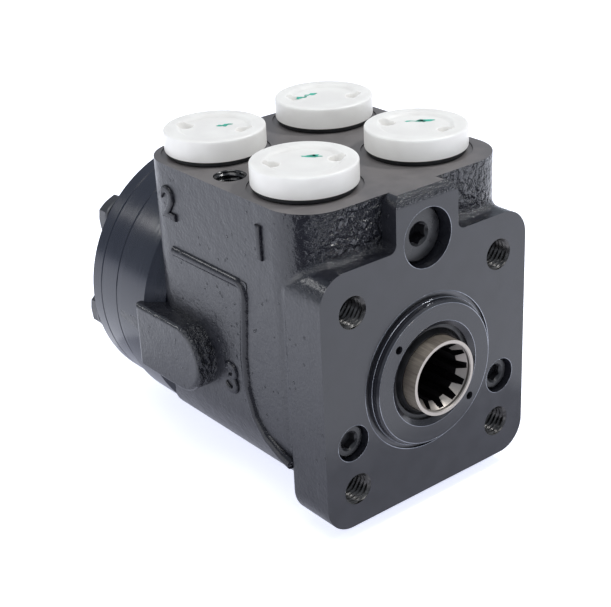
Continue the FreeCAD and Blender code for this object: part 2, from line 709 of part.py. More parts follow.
def spring_window(clearance):
    wide = 2 * LEAF_THICK + LEAF_BOW + clearance
    high = SPRING_HIGH / 2 + clearance
    return box(-wide, wide, SPRING_Y - high, SPRING_Y + high, -FAR, FAR)


def make_sleeve():
    sleeve = tube_y(SLEEVE_R, SLEEVE_BORE_R, SLEEVE_FRONT, SLEEVE_BACK)
    half = SPRING_RING_LONG / 2
    groove_half = half + 2 * FIT
    tools = [tube_y(SLEEVE_R + OVER, SPRING_RING_R - FIT, SPRING_Y - groove_half, SPRING_Y + groove_half),
             spring_window(WINDOW_CLEAR), cyl_x(PIN_R + PIN_HOLE_CLEAR, -FAR, FAR, PIN_Y, 0)]
    tools += ring_of_holes(SLEEVE_PORT_COUNT, SLEEVE_PORT_R, GROOVE_STATIONS["right_back"], 30)
    tools += ring_of_holes(SLEEVE_PORT_COUNT, SLEEVE_PORT_R, GROOVE_STATIONS["left_back"])
    tools += ring_of_holes(SLEEVE_PORT_COUNT, SLEEVE_PORT_R, SLEEVE_FRONT_PORTS_Y)
    tools += ring_of_holes(2 * LOBES, SLEEVE_METER_R, METER_Y + METER_HOLE_R, 90 / LOBES)
    save("sleeve", clean(cut_all(sleeve, tools)))
    save("spring_ring", tube_y(SLEEVE_R - FIT, SPRING_RING_R, SPRING_Y - half, SPRING_Y + half))
    save("cross_pin", cyl_x(PIN_R, -PIN_HALF, PIN_HALF, PIN_Y, 0))


def make_springs():
    leaves = []
    reach = SPRING_RING_R - WINDOW_CLEAR
    y0 = SPRING_Y - SPRING_HIGH / 2
    for side in (-1, 1):
        leaves.append(box(*sorted((0.0, side * LEAF_THICK)), y0, y0 + SPRING_HIGH, -reach, reach))
        base = side * LEAF_THICK
        bowed = base + side * LEAF_BOW
        inner = Part.Arc(V(bowed, y0, -reach), V(base, y0, 0), V(bowed, y0, reach)).toShape()
        outer = inner.copy()
        outer.translate(V(side * LEAF_THICK, 0, 0))
        ends = [Part.makeLine(V(bowed, y0, z), V(bowed + side * LEAF_THICK, y0, z)) for z in (-reach, reach)]
        outline = Part.Wire(Part.sortEdges([inner, outer, ends[0], ends[1]])[0])
        leaves.append(Part.Face(outline).extrude(V(0, SPRING_HIGH, 0)))
    save("centring_springs", *leaves)


def make_spool():
    front = SLEEVE_FRONT + SPOOL_STEP_GAP
    twist = math.radians(PIN_SLOT_TWIST)
    slot_half = PIN_R * math.cos(twist) + SPOOL_R * math.sin(twist) + 2 * PIN_SLOT_CLEAR
    spline_end = INPUT_SPLINE_BACK + OVER
    spool = fuse_all([cyl_y(NECK_R, SPOOL_TIP, front + OVER), cyl_y(SPOOL_R, front, SPOOL_BACK)])
    tools = [cyl_y(SPOOL_BORE_R, INPUT_SPLINE_BACK, SPOOL_BACK + OVER),
             cyl_y(TIP_BORE_R, SPOOL_TIP - OVER, SPOOL_TIP + TIP_RECESS),
             spline_solid(SPLINE_TEETH, INPUT_MINOR_R, TIP_BORE_R - 2 * FIT,
                          INPUT_ROOT_SHARE, INPUT_TIP_SHARE, SPOOL_TIP, spline_end),
             cyl_y(INPUT_MINOR_R, SPOOL_TIP - OVER, spline_end),
             stadium_x(PIN_Y, PIN_R + PIN_SLOT_CLEAR, slot_half, -FAR, FAR), spring_window(WINDOW_CLEAR)]
    half = SPOOL_GROOVE_WIDTH / 2
    for k in range(LOBES):
        for start, length, phase in SPOOL_GROOVES:
            groove = box(-half, half, start, start + length, SPOOL_R - SPOOL_GROOVE_DEPTH, SPOOL_R + OVER)
            groove.rotate(V(0, 0, 0), Y_AXIS, phase + 360.0 / LOBES * k)
            tools.append(groove)
    save("spool", clean(cut_all(spool, tools)))


# Rear stack

def stack_holes(y0, y1):
    return [cyl_y(M8_CLEAR_R, y0 - OVER, y1 + OVER, *polar(BOLT_CIRCLE_R, a)) for a in TOOTH_ANGLES]


def make_distributor_plate():
    y0 = REAR_FACE - OVER
    y1 = PLATE_BACK + OVER
    plate = cyl_y(STACK_R, REAR_FACE, PLATE_BACK)
    ports = [cyl_y(METER_HOLE_R, y0, y1, *polar(METER_CIRCLE_R, a)) for a in POCKET_ANGLES]
    plate = cut_all(plate, stack_holes(REAR_FACE, PLATE_BACK) + ports + [cyl_y(PLATE_HOLE_R, y0, y1)])
    save("distributor_plate", plate.cut(seal_groove(PLATE_BACK, -1)))


def make_gear_ring():
    y0 = PLATE_BACK - OVER
    y1 = RING_BACK + OVER
    teeth = [cyl_y(TOOTH_R, y0, y1, *polar(TOOTH_CIRCLE_R, a)) for a in TOOTH_ANGLES]
    ring = cyl_y(STACK_R, PLATE_BACK, RING_BACK).cut(cut_all(cyl_y(POCKET_R, y0, y1), teeth))
    save("gear_ring", clean(cut_all(ring, stack_holes(PLATE_BACK, RING_BACK))))


def make_end_cover():
    cover = cyl_y(STACK_R, RING_BACK, COVER_BACK)
    rim = [e for e in cover.Edges if at(e.CenterOfMass.y, COVER_BACK)]
    cover = cover.makeChamfer(COVER_CHAMFER, rim)
    save("end_cover", cut_all(cover, stack_holes(RING_BACK, COVER_BACK) + [seal_groove(RING_BACK, 1)]))


def make_stack_seals():
    save("housing_o_ring", seal_ring(STACK_SEAL_R, STACK_SEAL_WIRE, REAR_FACE - STACK_SEAL_WIRE))
    save("plate_o_ring", seal_ring(STACK_SEAL_R, STACK_SEAL_WIRE, PLATE_BACK - STACK_SEAL_WIRE))
    save("cover_o_ring", seal_ring(STACK_SEAL_R, STACK_SEAL_WIRE, RING_BACK + STACK_SEAL_WIRE))


def hex_bolt(x, z, pin_end=None):
    """Cover bolt with a chamfered hexagon head, and a ball stop on its end where one is asked for."""
    top = HEAD_SEAT + M8_HEAD_HIGH
    corner = M8_HEAD_AF / math.sqrt(3) + OVER
    crown = turned_y([(0, HEAD_SEAT), (corner, HEAD_SEAT), (corner, top - M8_HEAD_CHAMFER),
                      (M8_HEAD_CROWN_R, top), (0, top)], x, z)
    pieces = [hex_y(M8_HEAD_AF, HEAD_SEAT, top, x, z).common(crown),
              cyl_y(M8_R, REAR_FACE + M8_SHANK_FRONT, HEAD_SEAT, x, z),
              cyl_y(M8_TAP_R - SNUG, BOLT_END, REAR_FACE + M8_SHANK_FRONT, x, z)]
    if pin_end is not None:
        pieces.append(cyl_y(REAR_BALL_HOLE_R, pin_end, BOLT_END, x, z))
    return clean(fuse_all(pieces))


def ball_place(seat, ball_r, hole_r):
    """Height above a seat hole's mouth at which a ball rests just clear of it."""
    return seat + math.sqrt(ball_r ** 2 - hole_r ** 2) + BALL_CLEAR


def make_bolts():
    plain = []
    washers = []
    for number, angle in enumerate(TOOTH_ANGLES):
        x, z = polar(BOLT_CIRCLE_R, angle)
        washers.append(tube_y(WASHER_R, M8_CLEAR_R, COVER_BACK, HEAD_SEAT, x, z))
        seat = REAR_VALVE_FOOT + (CHECK_SEAT_HIGH if number == 0 else 0)
        ball_y = ball_place(seat, REAR_BALL_R, REAR_BALL_HOLE_R)
        stop = ball_y + REAR_BALL_R + BALL_TRAVEL + 2 * FIT
        if number == 0:
            save("ball_stop_bolt", hex_bolt(x, z, stop))
            save("check_valve_seat", tube_y(M8_TAP_R - SNUG, REAR_BALL_HOLE_R, REAR_VALVE_FOOT, seat, x, z))
            save("check_ball", Part.makeSphere(REAR_BALL_R, V(x, ball_y, z)))
            continue
        plain.append(hex_bolt(x, z))
        if number in VALVE_HOLES:
            side = "left" if x < 0 else "right"
            save("suction_ball_" + side, Part.makeSphere(REAR_BALL_R, V(x, ball_y, z)))
            save("suction_pin_" + side, tube_y(M8_TAP_R - SNUG, SUCTION_PIN_HOLE_R, stop, BOLT_END, x, z))
    save("cover_bolts", *plain)
    save("cover_washers", *washers)


# Gerotor, cardan shaft and drive spacer

def star_radius_point(alpha):
    """Point of the star's flank: the trochoid of the tooth centres, moved in by the tooth radius."""
    teeth = LOBES + 1
    px = TOOTH_CIRCLE_R * math.cos(alpha) + ORBIT * math.cos(teeth * alpha)
    pz = TOOTH_CIRCLE_R * math.sin(alpha) + ORBIT * math.sin(teeth * alpha)
    dx = -TOOTH_CIRCLE_R * math.sin(alpha) - ORBIT * teeth * math.sin(teeth * alpha)
    dz = TOOTH_CIRCLE_R * math.cos(alpha) + ORBIT * teeth * math.cos(teeth * alpha)
    size = math.hypot(dx, dz)
    inwards = TOOTH_R + STAR_CLEAR
    return px - inwards * dz / size, pz + inwards * dx / size


def make_star():
    steps = LOBES * STAR_STEPS
    y0 = PLATE_BACK + SIDE_CLEAR
    y1 = RING_BACK - SIDE_CLEAR
    points = []
    for k in range(steps + 1):
        x, z = star_radius_point(2 * math.pi * (k % steps) / steps)
        points.append(V(x, y0, z + ORBIT))
    arcs = [Part.Arc(*points[k:k + 3]).toShape() for k in range(0, steps, 2)]
    star = Part.Face(Part.Wire(arcs)).extrude(V(0, y1 - y0, 0))
    bore = spline_solid(SPLINE_TEETH, STAR_MINOR_R, STAR_MAJOR_R, SPLINE_ROOT_SHARE, SPLINE_TIP_SHARE,
                        y0 - OVER, y1 + OVER)
    bore.translate(V(0, 0, ORBIT))
    star = star.cut(bore).cut(cyl_y(STAR_MINOR_R, y0 - OVER, y1 + OVER, 0, ORBIT))
    save("gerotor_star", star)
    spacer_back = SPACER_FRONT + SPACER_THICK
    save("drive_spacer", tube_y(SPACER_R, SPACER_HOLE_R, SPACER_FRONT, spacer_back, 0, ORBIT))


def flank_share(share, r):
    """Share of a tooth that is left once the flank clearance is taken off at a radius."""
    return share - 2 * SPLINE_FLANK / (math.pi * r / SPLINE_TEETH)


def make_cardan():
    """Shaft with a forked head on the cross pin and a crowned spline in the star, leaning by the orbit."""
    spline_mid = (CARDAN_SPLINE_FRONT + CARDAN_BACK) / 2
    half = (CARDAN_BACK - CARDAN_SPLINE_FRONT) / 2
    lean = math.degrees(math.atan2(ORBIT, spline_mid - PIN_Y))
    head_back = CARDAN_FRONT + CARDAN_HEAD_LONG
    body = turned_y([(0, CARDAN_FRONT), (CARDAN_HEAD_R - CARDAN_BEVEL, CARDAN_FRONT),
                     (CARDAN_HEAD_R, CARDAN_FRONT + CARDAN_BEVEL), (CARDAN_HEAD_R, head_back),
                     (CARDAN_SHANK_R, head_back + CARDAN_HEAD_TAPER),
                     (CARDAN_SHANK_R, CARDAN_SPLINE_FRONT - 2 * CARDAN_RUNOUT),
                     (CARDAN_ROOT_R, CARDAN_SPLINE_FRONT - CARDAN_RUNOUT),
                     (CARDAN_ROOT_R, CARDAN_BACK - CROWN), (CARDAN_ROOT_R - CROWN, CARDAN_BACK),
                     (0, CARDAN_BACK)])
    teeth = spline_solid(SPLINE_TEETH, CARDAN_ROOT_R - CROWN / 2, CARDAN_TIP_R,
                         flank_share(SPLINE_ROOT_SHARE, CARDAN_ROOT_R),
                         flank_share(SPLINE_TIP_SHARE, CARDAN_TIP_R),
                         CARDAN_SPLINE_FRONT, CARDAN_BACK)
    crown = turned_y([(0, spline_mid - half), (CARDAN_TIP_R - CROWN / 2, spline_mid - half),
                      (CARDAN_TIP_R, spline_mid - CROWN), (CARDAN_TIP_R, spline_mid + CROWN),
                      (CARDAN_TIP_R - CROWN / 2, spline_mid + half), (0, spline_mid + half)])
    slot_half = PIN_R + CARDAN_BORE_MARGIN
    slot_foot = PIN_Y + CARDAN_SLOT_OVER
    slot = fuse_all([box(-FAR, FAR, CARDAN_FRONT - OVER, slot_foot, -slot_half, slot_half),
                     cyl_x(slot_half, -FAR, FAR, slot_foot, 0)])
    shaft = clean(body.fuse(teeth.common(crown)).cut(slot))
    shaft.rotate(V(0, PIN_Y, 0), X_AXIS, lean)
    save("cardan_shaft", shaft)


# Relief and shock valves

def screw_plug(x, z, front, head_r, thread_r, head_back, thread_back, hex_flats, hex_deep):
    """Screw plug with a socket for a hexagon key."""
    plug = turned_y([(0, front), (head_r - PLUG_EDGE, front), (head_r, front + PLUG_EDGE),
                     (head_r, head_back), (thread_r, head_back), (thread_r, thread_back),
                     (0, thread_back)], x, z)
    corner = hex_flats / math.sqrt(3)
    mouth = cone_y(corner + HEX_MOUTH / 2, corner - HEX_MOUTH / 2, front, front + HEX_MOUTH, x, z)
    return plug.cut(hex_y(hex_flats, front - OVER, front + hex_deep, x, z)).cut(mouth)


def make_relief_valve():
    plug = screw_plug(0, RELIEF_Z, RELIEF_SET_BACK, RELIEF_COUNTER_R - 3 * FIT, RELIEF_THREAD_R - SNUG,
                      RELIEF_HEAD_BACK, RELIEF_PLUG_BACK, RELIEF_HEX, RELIEF_HEX_DEEP)
    save("relief_plug", plug)
    seal = tube_y(RELIEF_COUNTER_R - RACE_CLEAR, RELIEF_THREAD_R + 2 * FIT,
                  RELIEF_HEAD_BACK, RELIEF_HEAD_BACK + RELIEF_SEAL_THICK, 0, RELIEF_Z)
    save("relief_plug_seal", seal)
    poppet_front = RELIEF_SEAT_FRONT - POPPET_LONG
    poppet_r = RELIEF_CHAMBER_R - RUN
    save("relief_poppet", turned_y([(0, poppet_front), (poppet_r, poppet_front),
                                    (poppet_r, RELIEF_SEAT_FRONT - POPPET_CONE),
                                    (RELIEF_SEAT_HOLE_R - RUN, RELIEF_SEAT_FRONT - RUN),
                                    (POPPET_TIP_R, RELIEF_SEAT_FRONT + POPPET_TIP_LONG),
                                    (0, RELIEF_SEAT_FRONT + POPPET_TIP_LONG)], 0, RELIEF_Z))
    save("relief_spring", coil_spring(RELIEF_COIL_R, RELIEF_COIL_WIRE, RELIEF_PLUG_BACK,
                                      poppet_front - SPRING_CLEAR, SPRING_TURNS, 0, RELIEF_Z))
    save("relief_seat", tube_y(RELIEF_CHAMBER_R - SNUG, RELIEF_SEAT_HOLE_R,
                               RELIEF_SEAT_FRONT, RELIEF_SEAT_BACK, 0, RELIEF_Z))


def make_shock_valves():
    plugs = []
    ball_y = 2 * SHOCK_SEAT - ball_place(SHOCK_SEAT, SHOCK_BALL_R, SHOCK_OUTLET_R)
    for side, name in ((-1, "left"), (1, "right")):
        x = side * SHOCK_X
        plugs.append(screw_plug(x, SHOCK_Z, SHOCK_SET_BACK, SHOCK_COUNTER_R - 2 * FIT, SHOCK_THREAD_R - SNUG,
                                SHOCK_HEAD_BACK, SHOCK_PLUG_BACK, SHOCK_HEX, SHOCK_HEX_DEEP))
        save("shock_spring_" + name, coil_spring(SHOCK_COIL_R, SHOCK_COIL_WIRE, SHOCK_PLUG_BACK,
                                                 ball_y - SHOCK_COIL_REACH, SPRING_TURNS, x, SHOCK_Z))
        save("shock_ball_" + name, Part.makeSphere(SHOCK_BALL_R, V(x, ball_y, SHOCK_Z)))
    save("shock_plugs", *plugs)


# Port plugs

def transport_plug(x, y, turn):
    """White screw plug with a dish in its head and two round holes for a pin key."""
    dish = PLUG_TOP - PLUG_DISH_DEPTH
    foot = PORT_FACE - PLUG_THREAD_LENGTH
    hollow_r = PLUG_THREAD_R - PLUG_WALL
    plug = turned_z([(0, foot + PLUG_HOLLOW), (hollow_r, foot + PLUG_HOLLOW), (hollow_r, foot),
                     (PLUG_THREAD_R - PLUG_EDGE_R, foot), (PLUG_THREAD_R, foot + PLUG_EDGE_R),
                     (PLUG_THREAD_R, PLUG_UNDER), (PLUG_HEAD_R, PLUG_UNDER), (PLUG_HEAD_R, PLUG_TOP),
                     (PLUG_DISH_R, PLUG_TOP), (PLUG_DISH_R, dish), (0, dish)], x, y)
    rim_size = 2 * PLUG_DISH_R + PLUG_EDGE_R
    plug = rounded(plug, PLUG_EDGE_R,
                   lambda e: at(e.BoundBox.ZMin, PLUG_TOP) and e.BoundBox.XLength > rim_size)
    circle_r = PLUG_DISH_R - PLUG_HOLE_R - PLUG_HOLE_INSET
    for side in (0, 180):
        dx, dy = polar(circle_r, turn + side)
        plug = plug.cut(cyl_z(PLUG_HOLE_R, dish - PLUG_HOLE_DEPTH, PLUG_TOP, x + dx, y + dy))
    return plug


def port_seal(x, y):
    """Flat seal ring with broken edges under a plug's head."""
    low = PLUG_SEAT + SEAL_GAP
    high = low + SEAL_THICK
    return turned_z([(SEAL_INNER_R, low + SEAL_EDGE), (SEAL_INNER_R + SEAL_EDGE, low),
                     (SEAL_OUTER_R - SEAL_EDGE, low), (SEAL_OUTER_R, low + SEAL_EDGE),
                     (SEAL_OUTER_R, high - SEAL_EDGE), (SEAL_OUTER_R - SEAL_EDGE, high),
                     (SEAL_INNER_R, high)], x, y)


def make_port_plugs():
    for number, ((x, y), turn) in enumerate(zip(PORTS, PLUG_TURNS), 1):
        save("port_plug_%d" % number, transport_plug(x, y, turn))
        save("port_seal_%d" % number, port_seal(x, y))


os.makedirs("parts", exist_ok=True)
make_housing()
make_gland()
make_gland_seals()
make_bearing()
make_sleeve()
make_springs()
make_spool()
make_distributor_plate()
make_gear_ring()
make_end_cover()
make_stack_seals()
make_bolts()
make_star()
make_cardan()
make_relief_valve()
make_shock_valves()
make_port_plugs()
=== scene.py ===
"""Looks of an orbital steering unit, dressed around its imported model.

Lengths are written in millimetres and turned into metres by MM. The frame is the
part's own: the shaft runs along Y, the mounting face is y = 0 and Z points up.
"""
import logging
import math
from dataclasses import dataclass, field, replace
from enum import Enum
from typing import Callable, Optional, Sequence

import bmesh
import bpy
from mathutils import Matrix, Vector, noise


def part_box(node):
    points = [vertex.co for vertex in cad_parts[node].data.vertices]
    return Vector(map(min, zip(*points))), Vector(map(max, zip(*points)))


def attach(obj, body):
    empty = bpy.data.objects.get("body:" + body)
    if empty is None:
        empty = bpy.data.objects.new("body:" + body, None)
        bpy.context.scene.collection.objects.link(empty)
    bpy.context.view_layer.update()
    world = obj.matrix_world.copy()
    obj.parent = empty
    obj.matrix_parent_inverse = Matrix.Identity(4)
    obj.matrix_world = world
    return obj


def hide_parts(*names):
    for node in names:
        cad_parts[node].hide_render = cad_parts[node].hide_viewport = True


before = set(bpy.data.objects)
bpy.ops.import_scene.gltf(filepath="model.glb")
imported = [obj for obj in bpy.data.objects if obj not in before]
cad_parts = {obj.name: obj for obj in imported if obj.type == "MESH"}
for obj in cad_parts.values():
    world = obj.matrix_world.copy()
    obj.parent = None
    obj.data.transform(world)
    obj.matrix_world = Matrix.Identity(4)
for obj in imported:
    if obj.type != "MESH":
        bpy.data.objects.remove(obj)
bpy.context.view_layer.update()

LOG = logging.getLogger("steering_unit")
MM = 0.001
KEPT = "kept_normal"
FACING = 0.99
SAME = 0.01

Colour = tuple[float, float, float]
Point = tuple[float, float, float]
Flat = tuple[float, float]
Socket = bpy.types.NodeSocket
Node = bpy.types.Node
Tree = bpy.types.NodeTree
Mesh = bpy.types.Mesh
Piece = bpy.types.Object


class Skin(Enum):
    """Surface patterns that a finish can have."""

    CAST = "cast"
    TURNED = "turned"
    GROUND = "ground"
    MOULDED = "moulded"


class Axis(Enum):
    """Direction of a turned or drilled feature, as the turn that lays +Z along it."""

    Y = (-90.0, 0.0, 0.0)
    Z = (0.0, 0.0, 0.0)

    def matrix(self, place: Point) -> Matrix:
        """Return the matrix that carries a shape made about +Z to a place, in millimetres."""
        turn = Matrix.Rotation(math.radians(self.value[0]), 4, "X")
        return Matrix.Translation(Vector(place) * MM) @ turn


# Shader node groups


def fill(node: Node, values: dict[str, object]) -> Node:
    """Set a node's inputs.

    Args:
        node: The node.
        values: Value of each input by name.

    Returns:
        The node.
    """
    for name, value in values.items():
        node.inputs[name].default_value = value
    return node


@dataclass
class GroupMaker:
    """Builds one shader node group with named sockets."""

    name: str
    tree: Tree = field(init=False)
    entry: Node = field(init=False)
    leave: Node = field(init=False)

    def __post_init__(self) -> None:
        """Make the empty group with its Vector and Size inputs and its three outputs."""
        self.tree = bpy.data.node_groups.new(self.name, "ShaderNodeTree")
        face = self.tree.interface
        face.new_socket("Vector", in_out="INPUT", socket_type="NodeSocketVector")
        size = face.new_socket("Size", in_out="INPUT", socket_type="NodeSocketFloat")
        size.default_value = MM
        for name in ("Height", "Shade", "Dullness"):
            face.new_socket(name, in_out="OUTPUT", socket_type="NodeSocketFloat")
        self.entry = self.tree.nodes.new("NodeGroupInput")
        self.leave = self.tree.nodes.new("NodeGroupOutput")

    def math(self, operation: str, *values: object) -> Socket:
        """Add a Math node.

        Args:
            operation: Name of the operation.
            values: Sockets or plain numbers for its inputs.

        Returns:
            The node's output socket.
        """
        node = self.tree.nodes.new("ShaderNodeMath")
        node.operation = operation
        for socket, value in zip(node.inputs, values):
            if isinstance(value, (int, float)):
                socket.default_value = value
            else:
                self.tree.links.new(value, socket)
        return node.outputs[0]

    def times(self, first: Socket, second: Socket) -> Socket:
        """Return the product of two values."""
        return self.math("MULTIPLY", first, second)

    def weighted(self, *terms: tuple[Socket, float]) -> Socket:
        """Add up values, each times its weight.

        Args:
            terms: Pairs of a value and its weight.

        Returns:
            The sum.
        """
        parts = [self.math("MULTIPLY", value, weight) for value, weight in terms]
        total = parts[0]
        for part in parts[1:]:
            total = self.math("ADD", total, part)
        return total

    def split(self, vector: Socket) -> list[Socket]:
        """Split a vector.

        Args:
            vector: The vector.

        Returns:
            Its X, Y and Z.
        """
        node = self.tree.nodes.new("ShaderNodeSeparateXYZ")
        self.tree.links.new(vector, node.inputs[0])
        return list(node.outputs)

    def joined(self, parts: Sequence[Socket]) -> Socket:
        """Join values into a vector.

        Args:
            parts: Its X and Y, and its Z or nothing.

        Returns:
            The vector.
        """
        node = self.tree.nodes.new("ShaderNodeCombineXYZ")
        for part, socket in zip(parts, node.inputs):
            self.tree.links.new(part, socket)
        return node.outputs[0]

    def stretched(self, *factors: float) -> Socket:
        """Divide the group's Vector by Size and by a factor along each axis.

        Args:
            factors: Three numbers, larger for a pattern that is longer along that axis.

        Returns:
            The vector.
        """
        parts = []
        for part, factor in zip(self.split(self.entry.outputs["Vector"]), factors):
            scaled = self.math("DIVIDE", part, self.entry.outputs["Size"])
            parts.append(self.math("DIVIDE", scaled, factor))
        return self.joined(parts)

    def noise(self, vector: Socket, scale: float, detail: float, rough: float = 0.5) -> Socket:
        """Read a noise texture.

        Args:
            vector: Where it is read.
            scale: Scale of the pattern.
            detail: Number of finer layers.
            rough: Strength of the finer layers.

        Returns:
            Its value.
        """
        node = fill(self.tree.nodes.new("ShaderNodeTexNoise"),
                    {"Scale": scale, "Detail": detail, "Roughness": rough})
        self.tree.links.new(vector, node.inputs["Vector"])
        return node.outputs[0]

    def cells(self, vector: Socket, scale: float) -> Socket:
        """Read a Voronoi texture.

        Args:
            vector: Where it is read.
            scale: Scale of the pattern.

        Returns:
            The distance to the nearest cell point.
        """
        node = fill(self.tree.nodes.new("ShaderNodeTexVoronoi"), {"Scale": scale})
        self.tree.links.new(vector, node.inputs["Vector"])
        return node.outputs["Distance"]

    def ramp(self, value: Socket, low: float, high: float) -> Socket:
        """Make a smooth step.

        Args:
            value: What the step follows.
            low: Value at which the step is 0.
            high: Value at which the step is 1.

        Returns:
            The step.
        """
        node = fill(self.tree.nodes.new("ShaderNodeMapRange"), {"From Min": low, "From Max": high})
        node.interpolation_type = "SMOOTHSTEP"
        self.tree.links.new(value, node.inputs["Value"])
        return node.outputs[0]

    def put_out(self, height: Socket, shade: Socket, dullness: Optional[Socket] = None) -> Tree:
        """Join the results to the group's outputs.

        Args:
            height: Relief of the skin.
            shade: Mix of the finish's two colours.
            dullness: Mix of its two roughnesses, which follows the shade if it isn't given.

        Returns:
            The finished group.
        """
        for name, value in (("Height", height), ("Shade", shade), ("Dullness", dullness or shade)):
            self.tree.links.new(value, self.leave.inputs[name])
        return self.tree


def cast_skin() -> Tree:
    """Make the sand-cast skin under paint.

    It has orange peel, slow waves and single grains all over, level ripples on walls that
    face forward, and coarse sand on the ledges between them.

    Returns:
        The group.
    """
    g = GroupMaker("cast_skin")
    even = g.stretched(1.0, 1.0, 1.0)
    level = g.stretched(1.0, 1.0, 1.7)
    peel = g.noise(even, scale=0.9, detail=3.0, rough=0.55)
    waves = g.noise(even, scale=0.22, detail=2.0)
    grains = g.ramp(g.cells(even, scale=0.42), low=0.24, high=0.12)
    rare = g.ramp(g.noise(even, scale=0.3, detail=1.0), low=0.56, high=0.62)
    ripples = g.ramp(g.noise(level, scale=0.50, detail=3.0, rough=0.55), low=0.36, high=0.64)
    sand = g.noise(even, scale=1.3, detail=2.0, rough=0.7)
    _, back, up = g.split(g.tree.nodes.new("ShaderNodeNewGeometry").outputs["Normal"])
    forward = g.math("MULTIPLY", back, -1.0)
    front = g.ramp(forward, low=0.62, high=0.95)
    ledge = g.ramp(g.times(g.math("MAXIMUM", forward, 0.0), up), low=0.08, high=0.30)
    wet = g.math("MAXIMUM", g.ramp(forward, low=0.2, high=0.7), g.ramp(up, low=0.3, high=0.8))
    height = g.weighted((peel, 0.5), (waves, 0.8), (g.times(grains, rare), 0.8),
                        (g.times(ripples, front), 2.6), (g.times(sand, ledge), 1.7))
    shade = g.ramp(g.weighted((peel, 0.5), (waves, 0.5)), low=0.3, high=0.7)
    matt = g.math("ADD", 0.5, g.math("MULTIPLY", shade, 0.5))
    return g.put_out(height, shade, g.times(g.math("SUBTRACT", 1.0, wet), matt))


def turned_skin() -> Tree:
    """Make the rings that a lathe tool leaves about the local Z axis, uneven from ring to ring.

    Returns:
        The group.
    """
    g = GroupMaker("turned_skin")
    x, y, z = g.split(g.entry.outputs["Vector"])
    size = g.entry.outputs["Size"]
    radius = g.math("SQRT", g.math("ADD", g.math("POWER", x, 2.0), g.math("POWER", y, 2.0)))
    place = g.joined([g.math("DIVIDE", radius, size), g.math("DIVIDE", z, size)])
    rings = g.noise(place, scale=1.0, detail=3.0, rough=0.65)
    blotch = g.noise(g.stretched(1.0, 1.0, 1.0), scale=0.12, detail=3.0)
    shade = g.weighted((rings, 0.6), (blotch, 0.4))
    return g.put_out(rings, g.ramp(shade, low=0.3, high=0.7))


def ground_skin() -> Tree:
    """Make fine lines along the local Z axis, with soft stains.

    Returns:
        The group.
    """
    g = GroupMaker("ground_skin")
    lines = g.noise(g.stretched(0.5, 0.5, 14.0), scale=1.0, detail=3.0, rough=0.7)
    stain = g.noise(g.stretched(1.0, 1.0, 3.0), scale=0.10, detail=4.0, rough=0.6)
    shade = g.weighted((lines, 0.5), (stain, 0.5))
    return g.put_out(lines, g.ramp(shade, low=0.32, high=0.68))


def moulded_skin() -> Tree:
    """Make an even moulded skin: a faint fine grain over slow sink marks.

    Returns:
        The group.
    """
    g = GroupMaker("moulded_skin")
    even = g.stretched(1.0, 1.0, 1.0)
    grain = g.noise(even, scale=1.6, detail=2.0)
    sink = g.noise(even, scale=0.16, detail=2.0)
    return g.put_out(g.weighted((grain, 0.3), (sink, 1.0)), g.ramp(sink, low=0.35, high=0.65))


SKIN_BUILDERS: dict[Skin, Callable[[], Tree]] = {
    Skin.CAST: cast_skin,
    Skin.TURNED: turned_skin,
    Skin.GROUND: ground_skin,
    Skin.MOULDED: moulded_skin,
}
SKIN_GROUPS: dict[Skin, Tree] = {}


@dataclass(frozen=True)
class Finish:
    """One surface finish: two colours, two roughnesses and a skin that mixes them.

    Sizes of the pattern, of its relief and of the reach of scattered light are in millimetres.
    """

    name: str
    slot: str
    base: Colour
    second: Colour
    rough: float
    rough_second: float
    skin: Skin
    grain: float
    relief: float
    metallic: float = 0.0
    specular: float = 0.5
    scatter: float = 0.0
    reach: float = 3.5
    glow: float = 0.0
    glow_tint: Colour = (1.0, 0.985, 0.955)
    axis: Axis = Axis.Y

    def build(self) -> bpy.types.Material:
        """Return the material, made once for each finish, and its skin once for all finishes."""
        known = bpy.data.materials.get(self.name)
        if known is not None:
            return known
        if self.skin not in SKIN_GROUPS:
            SKIN_GROUPS[self.skin] = SKIN_BUILDERS[self.skin]()
        mat = bpy.data.materials.new(self.name)
        mat.use_nodes = True
        nodes = mat.node_tree.nodes
        shader = nodes["Principled BSDF"]
        coordinate = nodes.new("ShaderNodeTexCoord")
        place = nodes.new("ShaderNodeMapping")
        place.vector_type = "TEXTURE"
        fill(place, {"Rotation": [math.radians(angle) for angle in self.axis.value]})
        skin = nodes.new("ShaderNodeGroup")
        skin.node_tree = SKIN_GROUPS[self.skin]
        fill(skin, {"Size": self.grain * MM})
        tint = nodes.new("ShaderNodeMix")
        tint.data_type = "RGBA"
        fill(tint, {"A": (*self.base, 1.0), "B": (*self.second, 1.0)})
        gloss = fill(nodes.new("ShaderNodeMapRange"), {"To Min": self.rough, "To Max": self.rough_second})
        bump = fill(nodes.new("ShaderNodeBump"), {"Distance": self.relief * MM, "Strength": 1.0})
        joints = (
            (coordinate, "Object", place, "Vector"), (place, "Vector", skin, "Vector"),
            (skin, "Shade", tint, "Factor"), (skin, "Dullness", gloss, "Value"),
            (skin, "Height", bump, "Height"), (tint, "Result", shader, "Base Color"),
            (gloss, "Result", shader, "Roughness"), (bump, "Normal", shader, "Normal"))
        for source, output, target, entry in joints:
            mat.node_tree.links.new(source.outputs[output], target.inputs[entry])
        fill(shader, {"Metallic": self.metallic, "Specular IOR Level": self.specular})
        # A scattering finish also glows by its glow value: painted light.
        if self.scatter > 0.0:
            fill(shader, {"Subsurface Weight": self.scatter, "Subsurface Radius": (1.0, 1.0, 1.0),
                          "Subsurface Scale": self.reach * MM, "Emission Color": (*self.glow_tint, 1.0),
                          "Emission Strength": self.glow})
        mat.diffuse_color = (*self.base, 1.0)
        return mat


